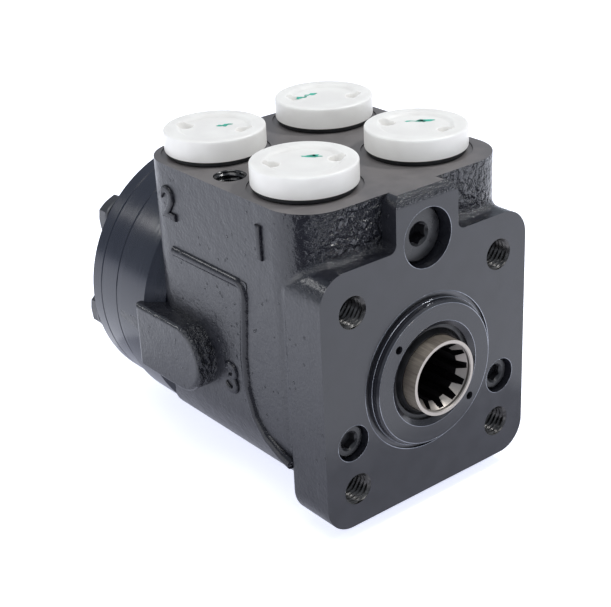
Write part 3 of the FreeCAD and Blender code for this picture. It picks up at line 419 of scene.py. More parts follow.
CAST_PAINT = Finish("cast_paint", "cast_black", (0.009, 0.0095, 0.0130), (0.016, 0.0165, 0.021), 0.16, 0.38,
                    Skin.CAST, 1.0, 0.32, specular=0.56)
FACE_PAINT = Finish("flange_face_paint", "cast_black", (0.011, 0.0115, 0.0150), (0.016, 0.0165, 0.021),
                    0.20, 0.27, Skin.MOULDED, 1.0, 0.03, specular=0.52)
# Darker, less shiny copy of the cast paint for the raised numbers and the ridge: painted shade for their
# dark rounded sides.
SHADED_MARK_PAINT = Finish("raised_mark_paint", "cast_black", (0.006, 0.006, 0.009), (0.010, 0.010, 0.014), 0.18,
                    0.30, Skin.CAST, 1.0, 0.10, specular=0.36)
RIM_PAINT = Finish("turned_rim_paint", "cast_black", (0.008, 0.010, 0.018), (0.013, 0.015, 0.024), 0.16,
                   0.24, Skin.TURNED, 2.2, 0.03)
PORT_PAINT = Finish("port_face_paint", "cast_black", (0.100, 0.092, 0.091), (0.125, 0.115, 0.113), 0.38,
                    0.46, Skin.MOULDED, 0.8, 0.02)
BORE_PAINT = Finish("bore_paint", "cast_black", (0.007, 0.007, 0.009), (0.012, 0.012, 0.014), 0.20, 0.30,
                    Skin.MOULDED, 0.6, 0.01)
STACK_PAINT = Finish("stack_paint", "stack_black", (0.007, 0.009, 0.018), (0.012, 0.014, 0.024), 0.16, 0.24,
                     Skin.TURNED, 2.2, 0.03)
GLAND_PAINT = Finish("gland_turned", "gland_black", (0.012, 0.0125, 0.016), (0.020, 0.0205, 0.025), 0.17,
                     0.25, Skin.TURNED, 0.5, 0.008)
VALVE_PAINT = Finish("valve_plug_black", "plug_black", (0.012, 0.012, 0.014), (0.022, 0.022, 0.024), 0.26,
                     0.36, Skin.MOULDED, 0.6, 0.01)
BOLT_COAT = Finish("bolt_coat", "bolt_steel", (0.016, 0.016, 0.019), (0.026, 0.026, 0.03), 0.3, 0.42,
                   Skin.MOULDED, 0.7, 0.015)
RING_STEEL = Finish("phosphate_steel", "ring_steel", (0.07, 0.07, 0.075), (0.12, 0.12, 0.125), 0.34, 0.46,
                    Skin.TURNED, 0.4, 0.01, metallic=0.8)
SPOOL_STEEL = Finish("spool_steel", "spool_steel", (0.13, 0.110, 0.094), (0.30, 0.265, 0.225), 0.16, 0.32,
                     Skin.GROUND, 0.45, 0.014, metallic=1.0)
# Brighter copy of the spool steel, with a coarser ground skin, for the outside of its neck: the brighter
# colour is a painted highlight.
LIT_NECK_STEEL = Finish("ground_neck_steel", "spool_steel", (0.30, 0.25, 0.21), (0.62, 0.55, 0.46), 0.30, 0.46,
                    Skin.GROUND, 0.8, 0.02, metallic=0.8)
# Bright metal for thin rings on turned edges: a painted highlight along each edge.
EDGE_HIGHLIGHT_METAL = Finish("broken_edge", "cast_black", (0.20, 0.21, 0.24), (0.34, 0.35, 0.38), 0.16, 0.28,
                    Skin.GROUND, 1.0, 0.0, metallic=0.85)
# Near-black steel for the spline teeth deep in the spool's bore: painted shade.
SHADED_SPLINE_STEEL = Finish("oiled_spline_steel", "spool_steel", (0.008, 0.007, 0.009), (0.02, 0.018, 0.018),
                      0.30, 0.45, Skin.GROUND, 0.6, 0.01, metallic=0.6)
GROUND_STEEL = Finish("ground_steel", "ground_steel", (0.48, 0.47, 0.45), (0.6, 0.59, 0.57), 0.2, 0.34,
                      Skin.GROUND, 0.4, 0.01, metallic=1.0)
SPRING_STEEL = Finish("spring_steel", "spring_steel", (0.25, 0.25, 0.26), (0.36, 0.36, 0.37), 0.28, 0.4,
                      Skin.GROUND, 0.4, 0.01, metallic=1.0)
THREAD_STEEL = Finish("tapped_thread", "cast_black", (0.035, 0.034, 0.034), (0.13, 0.125, 0.12), 0.20, 0.36,
                      Skin.TURNED, 0.6, 0.01, metallic=0.9)
RUBBER = Finish("seal_rubber", "rubber_black", (0.006, 0.006, 0.007), (0.012, 0.012, 0.013), 0.42, 0.56,
                Skin.MOULDED, 0.6, 0.02)
# The plug plastic glows a little of its own: painted light that brightens the white plugs.
WHITE_PLASTIC = Finish("plug_plastic", "plastic_white", (0.49, 0.48, 0.462), (0.53, 0.525, 0.505), 0.34,
                       0.44, Skin.MOULDED, 1.5, 0.05, scatter=0.6, axis=Axis.Z, glow=0.24)
GREEN_MARK = Finish("green_paint", "plastic_white", (0.012, 0.25, 0.17), (0.03, 0.42, 0.30), 0.35, 0.5,
                    Skin.MOULDED, 0.5, 0.02, axis=Axis.Z)


# Mesh helpers


def new_object(name: str, data: bpy.types.ID) -> Piece:
    """Link a new object.

    Args:
        name: Name of the object.
        data: Its mesh, curve, light or camera.

    Returns:
        The object.
    """
    obj = bpy.data.objects.new(name, data)
    bpy.context.scene.collection.objects.link(obj)
    return obj


def smooth(mesh: Mesh, degrees: float = 32.0) -> None:
    """Shade a mesh smooth, with edges sharper than an angle kept sharp."""
    mesh.shade_smooth()
    mesh.set_sharp_from_angle(angle=math.radians(degrees))


def weld(mesh: Mesh, distance: float = 0.001) -> None:
    """Merge a mesh's doubles and turn its faces outwards.

    Args:
        mesh: The mesh.
        distance: How far apart doubles may lie, in millimetres.
    """
    bm = bmesh.new()
    bm.from_mesh(mesh)
    bmesh.ops.remove_doubles(bm, verts=bm.verts, dist=distance * MM)
    bmesh.ops.recalc_face_normals(bm, faces=bm.faces)
    bm.to_mesh(mesh)
    bm.free()


def mesh_of(name: str, points: Sequence[Vector], faces: Sequence[Sequence[int]]) -> Mesh:
    """Make a closed mesh with merged doubles and outward normals.

    Args:
        name: Name of the mesh.
        points: Corners in metres.
        faces: Corner numbers of each face.

    Returns:
        The mesh, shaded smooth with sharp edges kept.
    """
    mesh = bpy.data.meshes.new(name)
    mesh.from_pydata([tuple(p) for p in points], [], [tuple(f) for f in faces])
    weld(mesh)
    smooth(mesh)
    return mesh


def wrapped(columns: int, rows: int) -> list[tuple[int, ...]]:
    """Number the faces of a grid that closes on itself both ways.

    Args:
        columns: Number of columns, which are counted first.
        rows: Number of points in each column.

    Returns:
        The corner numbers of each face.
    """
    faces = []
    for column in range(columns):
        here, after = column * rows, (column + 1) % columns * rows
        for row in range(rows):
            below = (row + 1) % rows
            faces.append((here + row, after + row, after + below, here + below))
    return faces


def lathe(name: str, profile: Sequence[Flat], place: Point, axis: Axis, steps: int = 96) -> Mesh:
    """Turn a closed profile of (radius, height) points, in millimetres.

    Args:
        name: Name of the mesh.
        profile: Points of the closed outline.
        place: Where the axis and height 0 lie.
        axis: Direction of the heights.
        steps: Columns round the axis.

    Returns:
        The closed mesh, in the part's frame.
    """
    matrix = axis.matrix(place)
    points = []
    for column in range(steps):
        angle = math.tau * column / steps
        for radius, height in profile:
            local = Vector((radius * math.cos(angle), radius * math.sin(angle), height)) * MM
            points.append(matrix @ local)
    return mesh_of(name, points, wrapped(steps, len(profile)))


def merged_copy(node: str, reshape: Optional[Callable[[bmesh.types.BMesh], None]] = None) -> Mesh:
    """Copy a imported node's mesh and merge its doubles.

    Args:
        node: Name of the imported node.
        reshape: Changes the merged mesh before it is written back.

    Returns:
        The merged copy, with its first corner normals in an attribute.
    """
    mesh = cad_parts[node].data.copy()
    normals = [part for corner in mesh.corner_normals for part in corner.vector]
    own = mesh.attributes.get("custom_normal")
    if own is not None:
        mesh.attributes.remove(own)
    mesh.attributes.new(KEPT, "FLOAT_VECTOR", "CORNER").data.foreach_set("vector", normals)
    bm = bmesh.new()
    bm.from_mesh(mesh)
    bmesh.ops.remove_doubles(bm, verts=bm.verts, dist=0.002 * MM)
    if reshape is not None:
        reshape(bm)
    bm.to_mesh(mesh)
    bm.free()
    return mesh


def use_kept_normals(mesh: Mesh, agreement: float = 0.3) -> None:
    """Give a cut copy its first normals again; faces that a cut made take their own.

    Args:
        mesh: The cut copy.
        agreement: Least cosine between a face's direction and a kept normal that fits it.
    """
    mesh.shade_smooth()
    kept = mesh.attributes[KEPT]
    normals = []
    for face in mesh.polygons:
        for corner in face.loop_indices:
            old = kept.data[corner].vector
            known = old.length > 0.5 and old.dot(face.normal) > agreement
            normals.append(tuple(old if known else face.normal))
    mesh.normals_split_custom_set(normals)
    mesh.attributes.remove(mesh.attributes[KEPT])


def prism(name: str, outline: Sequence[Flat], y0: float, y1: float) -> Mesh:
    """Make a closed prism along Y.

    Args:
        name: Name of the mesh.
        outline: Points (x, z) in millimetres.
        y0: Where it begins.
        y1: Where it ends.

    Returns:
        The mesh.
    """
    count = len(outline)
    points = [Vector((x, y, z)) * MM for y in (y0, y1) for x, z in outline]
    faces = [tuple(range(count)), tuple(range(count, 2 * count))]
    for k in range(count):
        after = (k + 1) % count
        faces.append((k, after, after + count, k + count))
    return mesh_of(name, points, faces)


def arc(x: float, z: float, radius: float, first: float, last: float, steps: int = 8) -> list[Flat]:
    """Lay points along an arc.

    Args:
        x: Where its centre lies across.
        z: Where its centre lies up.
        radius: Its radius.
        first: Angle of the first point, in degrees.
        last: Angle of the last point.
        steps: Steps between them.

    Returns:
        The points.
    """
    angles = [math.radians(first + (last - first) * k / steps) for k in range(steps + 1)]
    return [(x + radius * math.cos(a), z + radius * math.sin(a)) for a in angles]


def paint(mesh: Mesh, *finishes: Finish) -> None:
    """Give a mesh these finishes and no others.

    Args:
        mesh: The mesh.
        finishes: Its finishes, in the order of their numbers.
    """
    mesh.materials.clear()
    for finish in finishes:
        mesh.materials.append(finish.build())


def finished(obj: Piece, body: str, finish: Finish, *replaced: str) -> None:
    """Give a piece its finish and its body, and hide the nodes it stands for.

    Args:
        obj: The piece.
        body: Name of the body that it rides on.
        finish: Its finish, if it has none yet.
        replaced: Names of the nodes.
    """
    if not obj.data.materials:
        paint(obj.data, finish)
    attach(obj, body)
    if replaced:
        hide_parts(*replaced)
    LOG.info("piece %s rides on %s", obj.name, body)


def dress(finish: Finish, *names: str) -> None:
    """Give carried-over nodes their finish.

    Args:
        finish: The finish.
        names: Names of the nodes.
    """
    for name in names:
        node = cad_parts[name]
        paint(node.data, finish)
        LOG.info("node %s dressed in %s", name, finish.name)


def with_modifiers(obj: Piece) -> None:
    """Turn an object's modified shape into its plain mesh and remove the modifiers.

    Args:
        obj: The object.
    """
    bpy.context.view_layer.update()
    graph = bpy.context.evaluated_depsgraph_get()
    mesh = bpy.data.meshes.new_from_object(obj.evaluated_get(graph))
    obj.modifiers.clear()
    obj.data = mesh


def subtract(obj: Piece, tool: Mesh) -> None:
    """Cut a tool out of an object.

    Args:
        obj: The object.
        tool: Mesh of the tool.
    """
    helper = new_object(obj.name + "_tool", tool)
    cut = obj.modifiers.new("cut", "BOOLEAN")
    cut.operation = "DIFFERENCE"
    cut.solver = "EXACT"
    cut.object = helper
    with_modifiers(obj)
    bpy.data.objects.remove(helper)


# Geometry node trees


@dataclass
class PieceTree:
    """What all geometry node trees here share: named inputs, and an end that gives real, finished meshes."""

    name: str
    finish: Finish
    tree: Tree = field(init=False)
    entry: Node = field(init=False)

    def open(self, inputs: dict[str, str]) -> None:
        """Make the tree with its inputs.

        Args:
            inputs: Kind of each input by name.
        """
        self.tree = bpy.data.node_groups.new(self.name, "GeometryNodeTree")
        for name, kind in inputs.items():
            self.tree.interface.new_socket(name, in_out="INPUT", socket_type="NodeSocket" + kind)
        self.tree.interface.new_socket("Geometry", in_out="OUTPUT", socket_type="NodeSocketGeometry")
        self.entry = self.tree.nodes.new("NodeGroupInput")

    def node(self, kind: str) -> Node:
        """Add a geometry node of a kind."""
        return self.tree.nodes.new("GeometryNode" + kind)

    def wire(self, *joints: tuple[Node, str, Node, str]) -> None:
        """Join sockets, each joint given as a node, its output, the next node and its input."""
        for source, output, target, entry in joints:
            self.tree.links.new(source.outputs[output], target.inputs[entry])

    def close(self, last: Node, output: str) -> None:
        """Make real geometry of a result, give it the finish and put it out.

        Args:
            last: Node that has the result.
            output: Name of its socket.
        """
        real = self.node("RealizeInstances")
        coat = fill(self.node("SetMaterial"), {"Material": self.finish.build()})
        leave = self.tree.nodes.new("NodeGroupOutput")
        self.wire((last, output, real, "Geometry"), (real, "Geometry", coat, "Geometry"),
                  (coat, "Geometry", leave, "Geometry"))

    def grow(self, obj: Piece, values: dict[str, object]) -> None:
        """Run the tree on an object and keep the result as its plain mesh.

        Args:
            obj: The object.
            values: Value of each input by name.
        """
        modifier = obj.modifiers.new("grow", "NODES")
        modifier.node_group = self.tree
        for item in self.tree.interface.items_tree:
            if item.in_out == "INPUT" and item.name in values:
                modifier[item.identifier] = values[item.name]
        with_modifiers(obj)


@dataclass
class RepeatTree(PieceTree):
    """Geometry node tree that sets copies of one piece, its Unit, on the points of an object."""

    def __post_init__(self) -> None:
        """Build the tree."""
        self.open({"Points": "Geometry", "Unit": "Object", "Unit Scale": "Float"})
        unit = self.node("ObjectInfo")
        repeat = self.node("InstanceOnPoints")
        self.wire((self.entry, "Points", repeat, "Points"), (self.entry, "Unit", unit, "Object"),
                  (unit, "Geometry", repeat, "Instance"), (self.entry, "Unit Scale", repeat, "Scale"))
        self.close(repeat, "Instances")


def repeated(name: str, unit_mesh: Mesh, places: Sequence[Point], finish: Finish) -> Piece:
    """Set copies of a mesh at places, in millimetres, with a geometry node tree.

    Args:
        name: Name of the new object.
        unit_mesh: The piece, made about the origin.
        places: Where its origin goes.
        finish: Finish of all copies.

    Returns:
        One plain mesh object with all the copies.
    """
    points = bpy.data.meshes.new(name + "_places")
    points.from_pydata([tuple(Vector(p) * MM) for p in places], [], [])
    obj = new_object(name, points)
    unit = new_object(name + "_unit", unit_mesh)
    RepeatTree(name + "_tree", finish).grow(obj, {"Unit": unit, "Unit Scale": 1.0})
    bpy.data.objects.remove(unit)
    smooth(obj.data)
    return obj


@dataclass
class RidgeTree(PieceTree):
    """Geometry node tree that lays a round ridge along a line of edges."""

    def __post_init__(self) -> None:
        """Build the tree."""
        self.open({"Path": "Geometry", "Ridge Radius": "Float", "Corner Radius": "Float", "Step": "Float"})
        line = self.node("MeshToCurve")
        turn = self.node("FilletCurve")
        turn.mode = "POLY"
        fill(turn, {"Count": 8, "Limit Radius": True})
        even = self.node("ResampleCurve")
        even.mode = "LENGTH"
        ring = fill(self.node("CurvePrimitiveCircle"), {"Resolution": 28})
        sweep = fill(self.node("CurveToMesh"), {"Fill Caps": True})
        self.wire((self.entry, "Path", line, "Mesh"), (line, "Curve", turn, "Curve"),
                  (self.entry, "Corner Radius", turn, "Radius"), (turn, "Curve", even, "Curve"),
                  (self.entry, "Step", even, "Length"), (self.entry, "Ridge Radius", ring, "Radius"),
                  (even, "Curve", sweep, "Curve"), (ring, "Curve", sweep, "Profile Curve"))
        self.close(sweep, "Mesh")


def ridge(name: str, path: Sequence[Point], sizes: dict[str, float], finish: Finish) -> Piece:
    """Lay a round ridge along a path with a geometry node tree.

    Args:
        name: Name of the new object.
        path: Corners of its centre line, in millimetres.
        sizes: Values of the tree's inputs by name, in millimetres.
        finish: Finish of the ridge.

    Returns:
        The plain mesh object.
    """
    mesh = bpy.data.meshes.new(name + "_path")
    edges = [(k, k + 1) for k in range(len(path) - 1)]
    mesh.from_pydata([tuple(Vector(p) * MM) for p in path], edges, [])
    obj = new_object(name, mesh)
    RidgeTree(name + "_tree", finish).grow(obj, {key: size * MM for key, size in sizes.items()})
    weld(obj.data)
    smooth(obj.data, 50.0)
    return obj


@dataclass(frozen=True)
class ThreadSize:
    """Sizes of a metric or pipe thread, in millimetres.

    The wave that runs from root to crest is steep times a triangle, cut off at its root and crest.
    """

    crest: float
    root: float
    pitch: float
    wall: float
    length: float
    mouth: float = 0.0
    mouth_at_end: bool = False
    steep: float = 1.6
    root_flat: float = 0.3

    def radius_at(self, height: float, turn: float) -> float:
        """Measure the thread at a place.

        Args:
            height: Height of the place.
            turn: Its share of a turn round the axis.

        Returns:
            The radius there.
        """
        phase = (height / self.pitch - turn) % 1.0
        wave = min(1.0, max(0.0, self.steep * (1.0 - abs(2.0 * phase - 1.0)) - self.root_flat))
        radius = self.root + (self.crest - self.root) * wave
        if self.mouth > 0.0:
            inward = self.length - height if self.mouth_at_end else height
            radius = max(radius, self.mouth - inward)
        return radius

    def sleeve(self, name: str, axis: Axis, steps: int = 40, rows_per_pitch: int = 6) -> Mesh:
        """Make a closed threaded sleeve from height 0 to its length.

        Args:
            name: Name of the mesh.
            axis: Direction of the heights.
            steps: Columns round the axis.
            rows_per_pitch: Rows in one turn of the thread.

        Returns:
            A tube whose crest side carries the thread and whose wall side is plain.
        """
        matrix = axis.matrix((0.0, 0.0, 0.0))
        rows = int(self.length / self.pitch * rows_per_pitch) + 1
        heights = [self.length * row / (rows - 1) for row in range(rows)]
        points = []
        for column in range(steps):
            turn = column / steps
            around = Vector((math.cos(math.tau * turn), math.sin(math.tau * turn), 0.0))
            section = [(self.radius_at(height, turn), height) for height in heights]
            for radius, height in section + [(self.wall, self.length), (self.wall, 0.0)]:
                points.append(matrix @ ((around * radius + Vector((0.0, 0.0, height))) * MM))
        return mesh_of(name, points, wrapped(steps, rows + 2))


# Sub-assemblies


class Zone(Enum):
    """Zones of the casting, each with the number of its finish."""

    CAST = 0
    MOUNTING = 1
    PORTS = 2
    BORE = 3
    RIM = 4


@dataclass
class Casting:
    """The cast housing: cast skin, machined faces, tapped holes and raised marks."""

    bolt_square: float = 58.37
    tap_radius: float = 4.25
    thread_root: float = 5.05
    tap_pitch: float = 1.5
    flange_tap_depth: float = 18.0
    top_tap_depth: float = 16.0
    top_bolts: tuple[Point, ...] = ((-32.7, 50.2, 58.0), (32.7, 50.2, 58.0))
    port_face: float = 58.0
    wall: float = -41.0
    rib_proud: float = 0.9
    rib_sunk: float = 0.25
    boss_half: float = 12.2
    boss_corner: float = 3.6
    ledge: float = 42.2
    ledge_corner: float = 2.6
    block_front: float = 6.2
    tool_reach: float = 1.0
    fillet_root: float = 0.4
    rim_front: float = 80.0
    rim_inner: float = 42.0
    bore_radius: float = 26.6
    face_slack: float = 0.05
    port_slack: float = 0.5
    bore_slack: float = 0.3
    tap_slack: float = 0.02
    thread_gap: float = 0.01
    thread_base: float = 0.12
    thread_lift: float = 0.03
    ridge_sunk: float = 0.8
    ridge_radius: float = 1.95
    ridge_corner: float = 3.0
    ridge_step: float = 0.7
    ridge_line: tuple[Flat, ...] = ((71.7, 29.8), (35.0, 29.8), (37.4, 6.0), (37.0, -4.5), (33.6, -14.0),
                                    (28.4, -19.4), (21.5, -22.6), (17.2, -23.6))
    body: str = "housing"

    def flange_holes(self) -> list[Point]:
        """Centres of the four tapped holes in the mounting face."""
        half = self.bolt_square / 2.0
        return [(sx * half, 0.0, sz * half) for sx in (-1, 1) for sz in (-1, 1)]

    def holes_off(self, place: Vector) -> list[tuple[Vector, float]]:
        """Measure how a place lies to the tapped holes.

        Args:
            place: The place, in millimetres.

        Returns:
            For each hole, the offset from its axis and the height over its bottom.
        """
        found = []
        for mouth in self.flange_holes():
            off = place - Vector(mouth)
            found.append((Vector((off.x, 0.0, off.z)), self.flange_tap_depth - off.y))
        for mouth in self.top_bolts:
            off = place - Vector(mouth)
            found.append((Vector((off.x, off.y, 0.0)), self.top_tap_depth + off.z))
        return found

    def zone(self, centre: Vector, normal: Vector) -> Zone:
        """Find the zone of a face.

        Args:
            centre: Middle of the face, in metres.
            normal: Its direction.

        Returns:
            The zone.
        """
        place = centre / MM
        radius = math.hypot(place.x, place.z)
        if place.y < self.face_slack and normal.y < -FACING:
            return Zone.MOUNTING
        if place.z > self.port_face - self.port_slack and normal.z > FACING:
            return Zone.PORTS
        reach = self.thread_root + self.bore_slack
        if any(off.length < reach and over > -1.0 for off, over in self.holes_off(place)):
            return Zone.BORE
        if place.y > self.rim_front and abs(normal.x) < 0.999:
            outward = (place.x * normal.x + place.z * normal.z) / max(radius, 0.1)
            if normal.y < -0.3 or (radius > self.rim_inner and outward > 0.9):
                return Zone.RIM
        return Zone.BORE if radius < self.bore_radius else Zone.CAST

    def reshape(self, bm: bmesh.types.BMesh) -> None:
        """Move the tapped holes' walls out to the thread's root, and sink the rib under its ridge.

        Args:
            bm: The merged casting.
        """
        for vert in bm.verts:
            place = vert.co / MM
            if abs(place.x - self.wall + self.rib_proud) < SAME:
                vert.co.x = (self.wall - self.rib_sunk) * MM
            for off, over in self.holes_off(place):
                if 0.1 < off.length < self.tap_radius + self.tap_slack and over > -0.1:
                    vert.co += off.normalized() * (self.thread_root - off.length) * MM

    def build_body(self) -> None:
        """Copy the housing node, merge it and give each zone its finish."""
        obj = new_object("cast_body", merged_copy("housing", self.reshape))
        for side in (-1.0, 1.0):
            self.round_boss(obj, side)
        mesh = obj.data
        use_kept_normals(mesh)
        paint(mesh, CAST_PAINT, FACE_PAINT, PORT_PAINT, BORE_PAINT, RIM_PAINT)
        for face in mesh.polygons:
            face.material_index = self.zone(face.center, face.normal).value
        finished(obj, self.body, CAST_PAINT, "housing")

    def round_boss(self, obj: Piece, side: float) -> None:
        """Round one upper corner of the valve boss and fill the corner where it meets the ledge.

        Args:
            obj: The casting.
            side: -1 for the left corner, 1 for the right one.
        """
        r = self.boss_corner
        x, z = self.boss_half - r, self.port_face - r
        past, above = self.boss_half + self.tool_reach, self.port_face + self.tool_reach
        outline = arc(x, z, r, 90.0, 0.0) + [(past, z), (past, above), (x, above)]
        outline = [(side * a, b) for a, b in outline]
        subtract(obj, prism("boss_corner_tool", outline, -self.tool_reach, self.block_front))
        r = self.ledge_corner
        x, z = self.boss_half + r, self.ledge + r
        inside, under = self.boss_half - self.fillet_root, self.ledge - self.fillet_root
        outline = arc(x, z, r, 270.0, 180.0) + [(inside, z), (inside, under), (x, under)]
        outline = [(side * a, b) for a, b in outline]
        shape = prism("ledge_fillet", outline, SAME, self.block_front + self.fillet_root)
        paint(shape, CAST_PAINT, FACE_PAINT)
        for face in shape.polygons:
            face.material_index = 1 if face.normal.y < -0.9 else 0
        name = "ledge_fillet_left" if side < 0 else "ledge_fillet_right"
        finished(new_object(name, shape), self.body, CAST_PAINT)

    def build_ridge(self) -> None:
        """Lay the raised line of the left wall: along the top, down the front and forward at its foot."""
        path = [(self.wall + self.ridge_sunk, y, z) for y, z in self.ridge_line]
        sizes = {"Ridge Radius": self.ridge_radius, "Corner Radius": self.ridge_corner,
                 "Step": self.ridge_step}
        # The ridge takes the darker mark paint: painted shade.
        finished(ridge("marking_ridge", path, sizes, SHADED_MARK_PAINT), self.body, SHADED_MARK_PAINT)

    def build_threads(self) -> None:
        """Cut threads into the tapped holes of the flange and the port face."""
        wall = self.thread_root - self.thread_gap
        size = ThreadSize(self.tap_radius, self.thread_root - self.thread_base, self.tap_pitch, wall,
                          self.flange_tap_depth - 0.1, mouth=wall - 0.02)
        places = [(x, self.thread_lift, z) for x, _, z in self.flange_holes()]
        flange = repeated("flange_threads", size.sleeve("flange_thread", Axis.Y), places, THREAD_STEEL)
        finished(flange, self.body, THREAD_STEEL)
        size = replace(size, length=self.top_tap_depth - 0.08, mouth_at_end=True)
        foot = self.port_face - self.top_tap_depth + 0.05
        places = [(x, y, foot) for x, y, _ in self.top_bolts]
        top = repeated("top_threads", size.sleeve("top_thread", Axis.Z), places, BORE_PAINT)
        finished(top, self.body, BORE_PAINT)

    def build(self) -> None:
        """Build the casting's pieces."""
        self.build_body()
        self.build_ridge()
        self.build_threads()


@dataclass
class PortMarks:
    """Raised plain numbers on the left wall, one beside each marked port."""

    wall: float = -41.0
    proud: float = 0.20
    round_off: float = 0.72
    slimmer: float = 0.15
    height: float = 10.5
    size_over_height: float = 1.35
    places: tuple[tuple[str, float, float], ...] = (("1", 29.5, 41.5), ("2", 75.5, 41.0), ("3", 48.0, -9.5))

    def build(self) -> None:
        """Build each number as a bevelled solid that grows out of the wall."""
        upright = Matrix(((0, 0, -1, 0), (-1, 0, 0, 0), (0, 1, 0, 0), (0, 0, 0, 1)))
        for text, y, z in self.places:
            curve = bpy.data.curves.new("mark_" + text, "FONT")
            curve.body = text
            curve.size = self.height * MM * self.size_over_height
            curve.extrude = self.proud * MM
            curve.bevel_depth = self.round_off * MM
            curve.bevel_resolution = 4
            curve.offset = -self.slimmer * MM
            helper = new_object("mark_helper", curve)
            bpy.context.view_layer.update()
            graph = bpy.context.evaluated_depsgraph_get()
            mesh = bpy.data.meshes.new_from_object(helper.evaluated_get(graph))
            bpy.data.objects.remove(helper)
            mesh.transform(Matrix.Translation(Vector((self.wall, y, z)) * MM) @ upright)
            weld(mesh, 0.005)
            smooth(mesh, 40.0)
            # The numbers take the darker mark paint: painted shade.
            paint(mesh, SHADED_MARK_PAINT)
            finished(new_object("port_mark_" + text, mesh), "housing", SHADED_MARK_PAINT)


@dataclass
class TransportPlug:
    """One white screw plug of a port, with its dish, tool holes, thread and paint dab."""

    number: int
    turn: float
    dabs: tuple[tuple[float, float, float, float], ...]
    head_radius: float = 15.95
    top: float = 66.0
    under: float = 59.15
    foot: float = 46.0
    dish_radius: float = 11.0
    dish_depth: float = 0.8
    dish_slope: float = 1.8
    edge_radius: float = 0.65
    tool_radius: float = 2.5
    tool_circle: float = 9.5
    tool_depth: float = 2.2
    thread_crest: float = 9.2
    thread_root: float = 8.1
    pitch: float = 1.814
    wall: float = 1.6
    hollow: float = 4.0
    foot_edge: float = 0.8
    under_edge: float = 0.5
    thread_off: float = 1.0
    dab_steps: int = 14
    dab_width: float = 0.95
    dab_bend: float = 0.8
    dab_lifts: tuple[float, float] = (-0.02, 0.05)

    @property
    def node(self) -> str:
        """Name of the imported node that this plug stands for."""
        return "port_plug_%d" % self.number

    def centre(self) -> Flat:
        """Centre of the plug in millimetres."""
        low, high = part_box(self.node)
        middle = (low + high) / 2.0 / MM
        return middle.x, middle.y

    def profile(self) -> list[Flat]:
        """Outline of the plug's head and shank, from the dish outwards and down."""
        floor = self.top - self.dish_depth
        points = [(0.0, floor)]
        for step in range(9):
            share = step / 8.0
            rise = self.dish_depth * share * share * (3.0 - 2.0 * share)
            points.append((self.dish_radius + self.dish_slope * (share - 0.5), floor + rise))
        edge, head, under, foot = self.edge_radius, self.head_radius, self.under, self.foot
        root, inner = self.thread_root, self.thread_root - self.wall
        points += arc(head - edge, self.top - edge, edge, 90.0, 0.0, 6)
        edge, soft = self.under_edge, 0.3 * self.under_edge
        points += [(head, under + edge), (head - soft, under + soft), (head - edge, under), (root, under),
                   (root, foot + self.foot_edge), (root - self.foot_edge, foot), (inner, foot),
                   (inner, foot + self.hollow), (0.0, foot + self.hollow)]
        return points

    def build(self) -> None:
        """Build the plug, its thread and its paint dabs."""
        x, y = self.centre()
        mesh = lathe(self.node + "_shape", self.profile(), (x, y, 0.0), Axis.Z, 120)
        obj = new_object("transport_plug_%d" % self.number, mesh)
        floor = self.top - self.dish_depth
        low, high, r = floor - self.tool_depth, floor + 3.0, self.tool_radius
        tool = [(0.0, low), (r - 0.5, low), (r - 0.1, low + 0.5), (r, floor - 0.2), (r + 0.25, floor + 0.2),
                (r + 0.4, high), (0.0, high)]
        for side in (0.0, 180.0):
            angle = math.radians(self.turn + side)
            place = (x + self.tool_circle * math.cos(angle), y + self.tool_circle * math.sin(angle), 0.0)
            subtract(obj, lathe("tool_hole", tool, place, Axis.Z, 40))
        smooth(obj.data, 40.0)
        paint(obj.data, WHITE_PLASTIC)
        finished(obj, self.node, WHITE_PLASTIC, self.node)
        thread = ThreadSize(self.thread_crest, self.thread_root + 0.05, self.pitch, self.thread_root - 0.4,
                            self.under - self.foot - 2.0 * self.thread_off)
        sleeve = thread.sleeve("plug_thread", Axis.Z, 64)
        sleeve.transform(Matrix.Translation(Vector((x, y, self.foot + self.thread_off)) * MM))
        finished(new_object("plug_thread_%d" % self.number, sleeve), self.node, WHITE_PLASTIC)
        for stroke in range(len(self.dabs)):
            self.build_dab(x, y, floor, stroke)

    def build_dab(self, x: float, y: float, floor: float, stroke: int) -> None:
        """Brush one thin stroke of paint onto the dish's floor, uneven in its own way.

        Args:
            x: Where the plug's axis lies across.
            y: Where it lies along the shaft.
            floor: Height of the dish's floor.
            stroke: Number of the stroke, from 0.
        """
        right, back, degrees, length = self.dabs[stroke]
        angle = math.radians(degrees)
        along = Vector((math.cos(angle), math.sin(angle), 0.0))
        across = Vector((-along.y, along.x, 0.0))
        middle = Vector((x + right, y + back, floor))
        points = []
        for step in range(self.dab_steps + 1):
            s = 2.0 * step / self.dab_steps - 1.0
            seed = Vector((s * 2.3, self.number * 7.1 + stroke * 3.3, 0.4))
            uneven = 0.7 + 0.9 * noise.noise(seed)
            width = self.dab_width * math.sqrt(max(0.0, 1.0 - s * s)) * uneven + 0.06
            bend = self.dab_bend * noise.noise(seed + Vector((3.0, 0.0, 0.0)))
            spot = middle + along * s * length / 2.0 + across * bend
            for side in (-1.0, 1.0):
                for lift in self.dab_lifts:
                    points.append((spot + across * side * width + Vector((0.0, 0.0, lift))) * MM)
        last = self.dab_steps * 4
        faces = [(0, 2, 3, 1), (last, last + 1, last + 3, last + 2)]
        for a in range(0, last, 4):
            b = a + 4
            faces += [(a + 1, a + 3, b + 3, b + 1), (a, b, b + 2, a + 2), (a, a + 1, b + 1, b),
                      (a + 2, b + 2, b + 3, a + 3)]
        name = "paint_dab_%d_%d" % (self.number, stroke + 1)
        finished(new_object(name, mesh_of(name, points, faces)), self.node, GREEN_MARK)


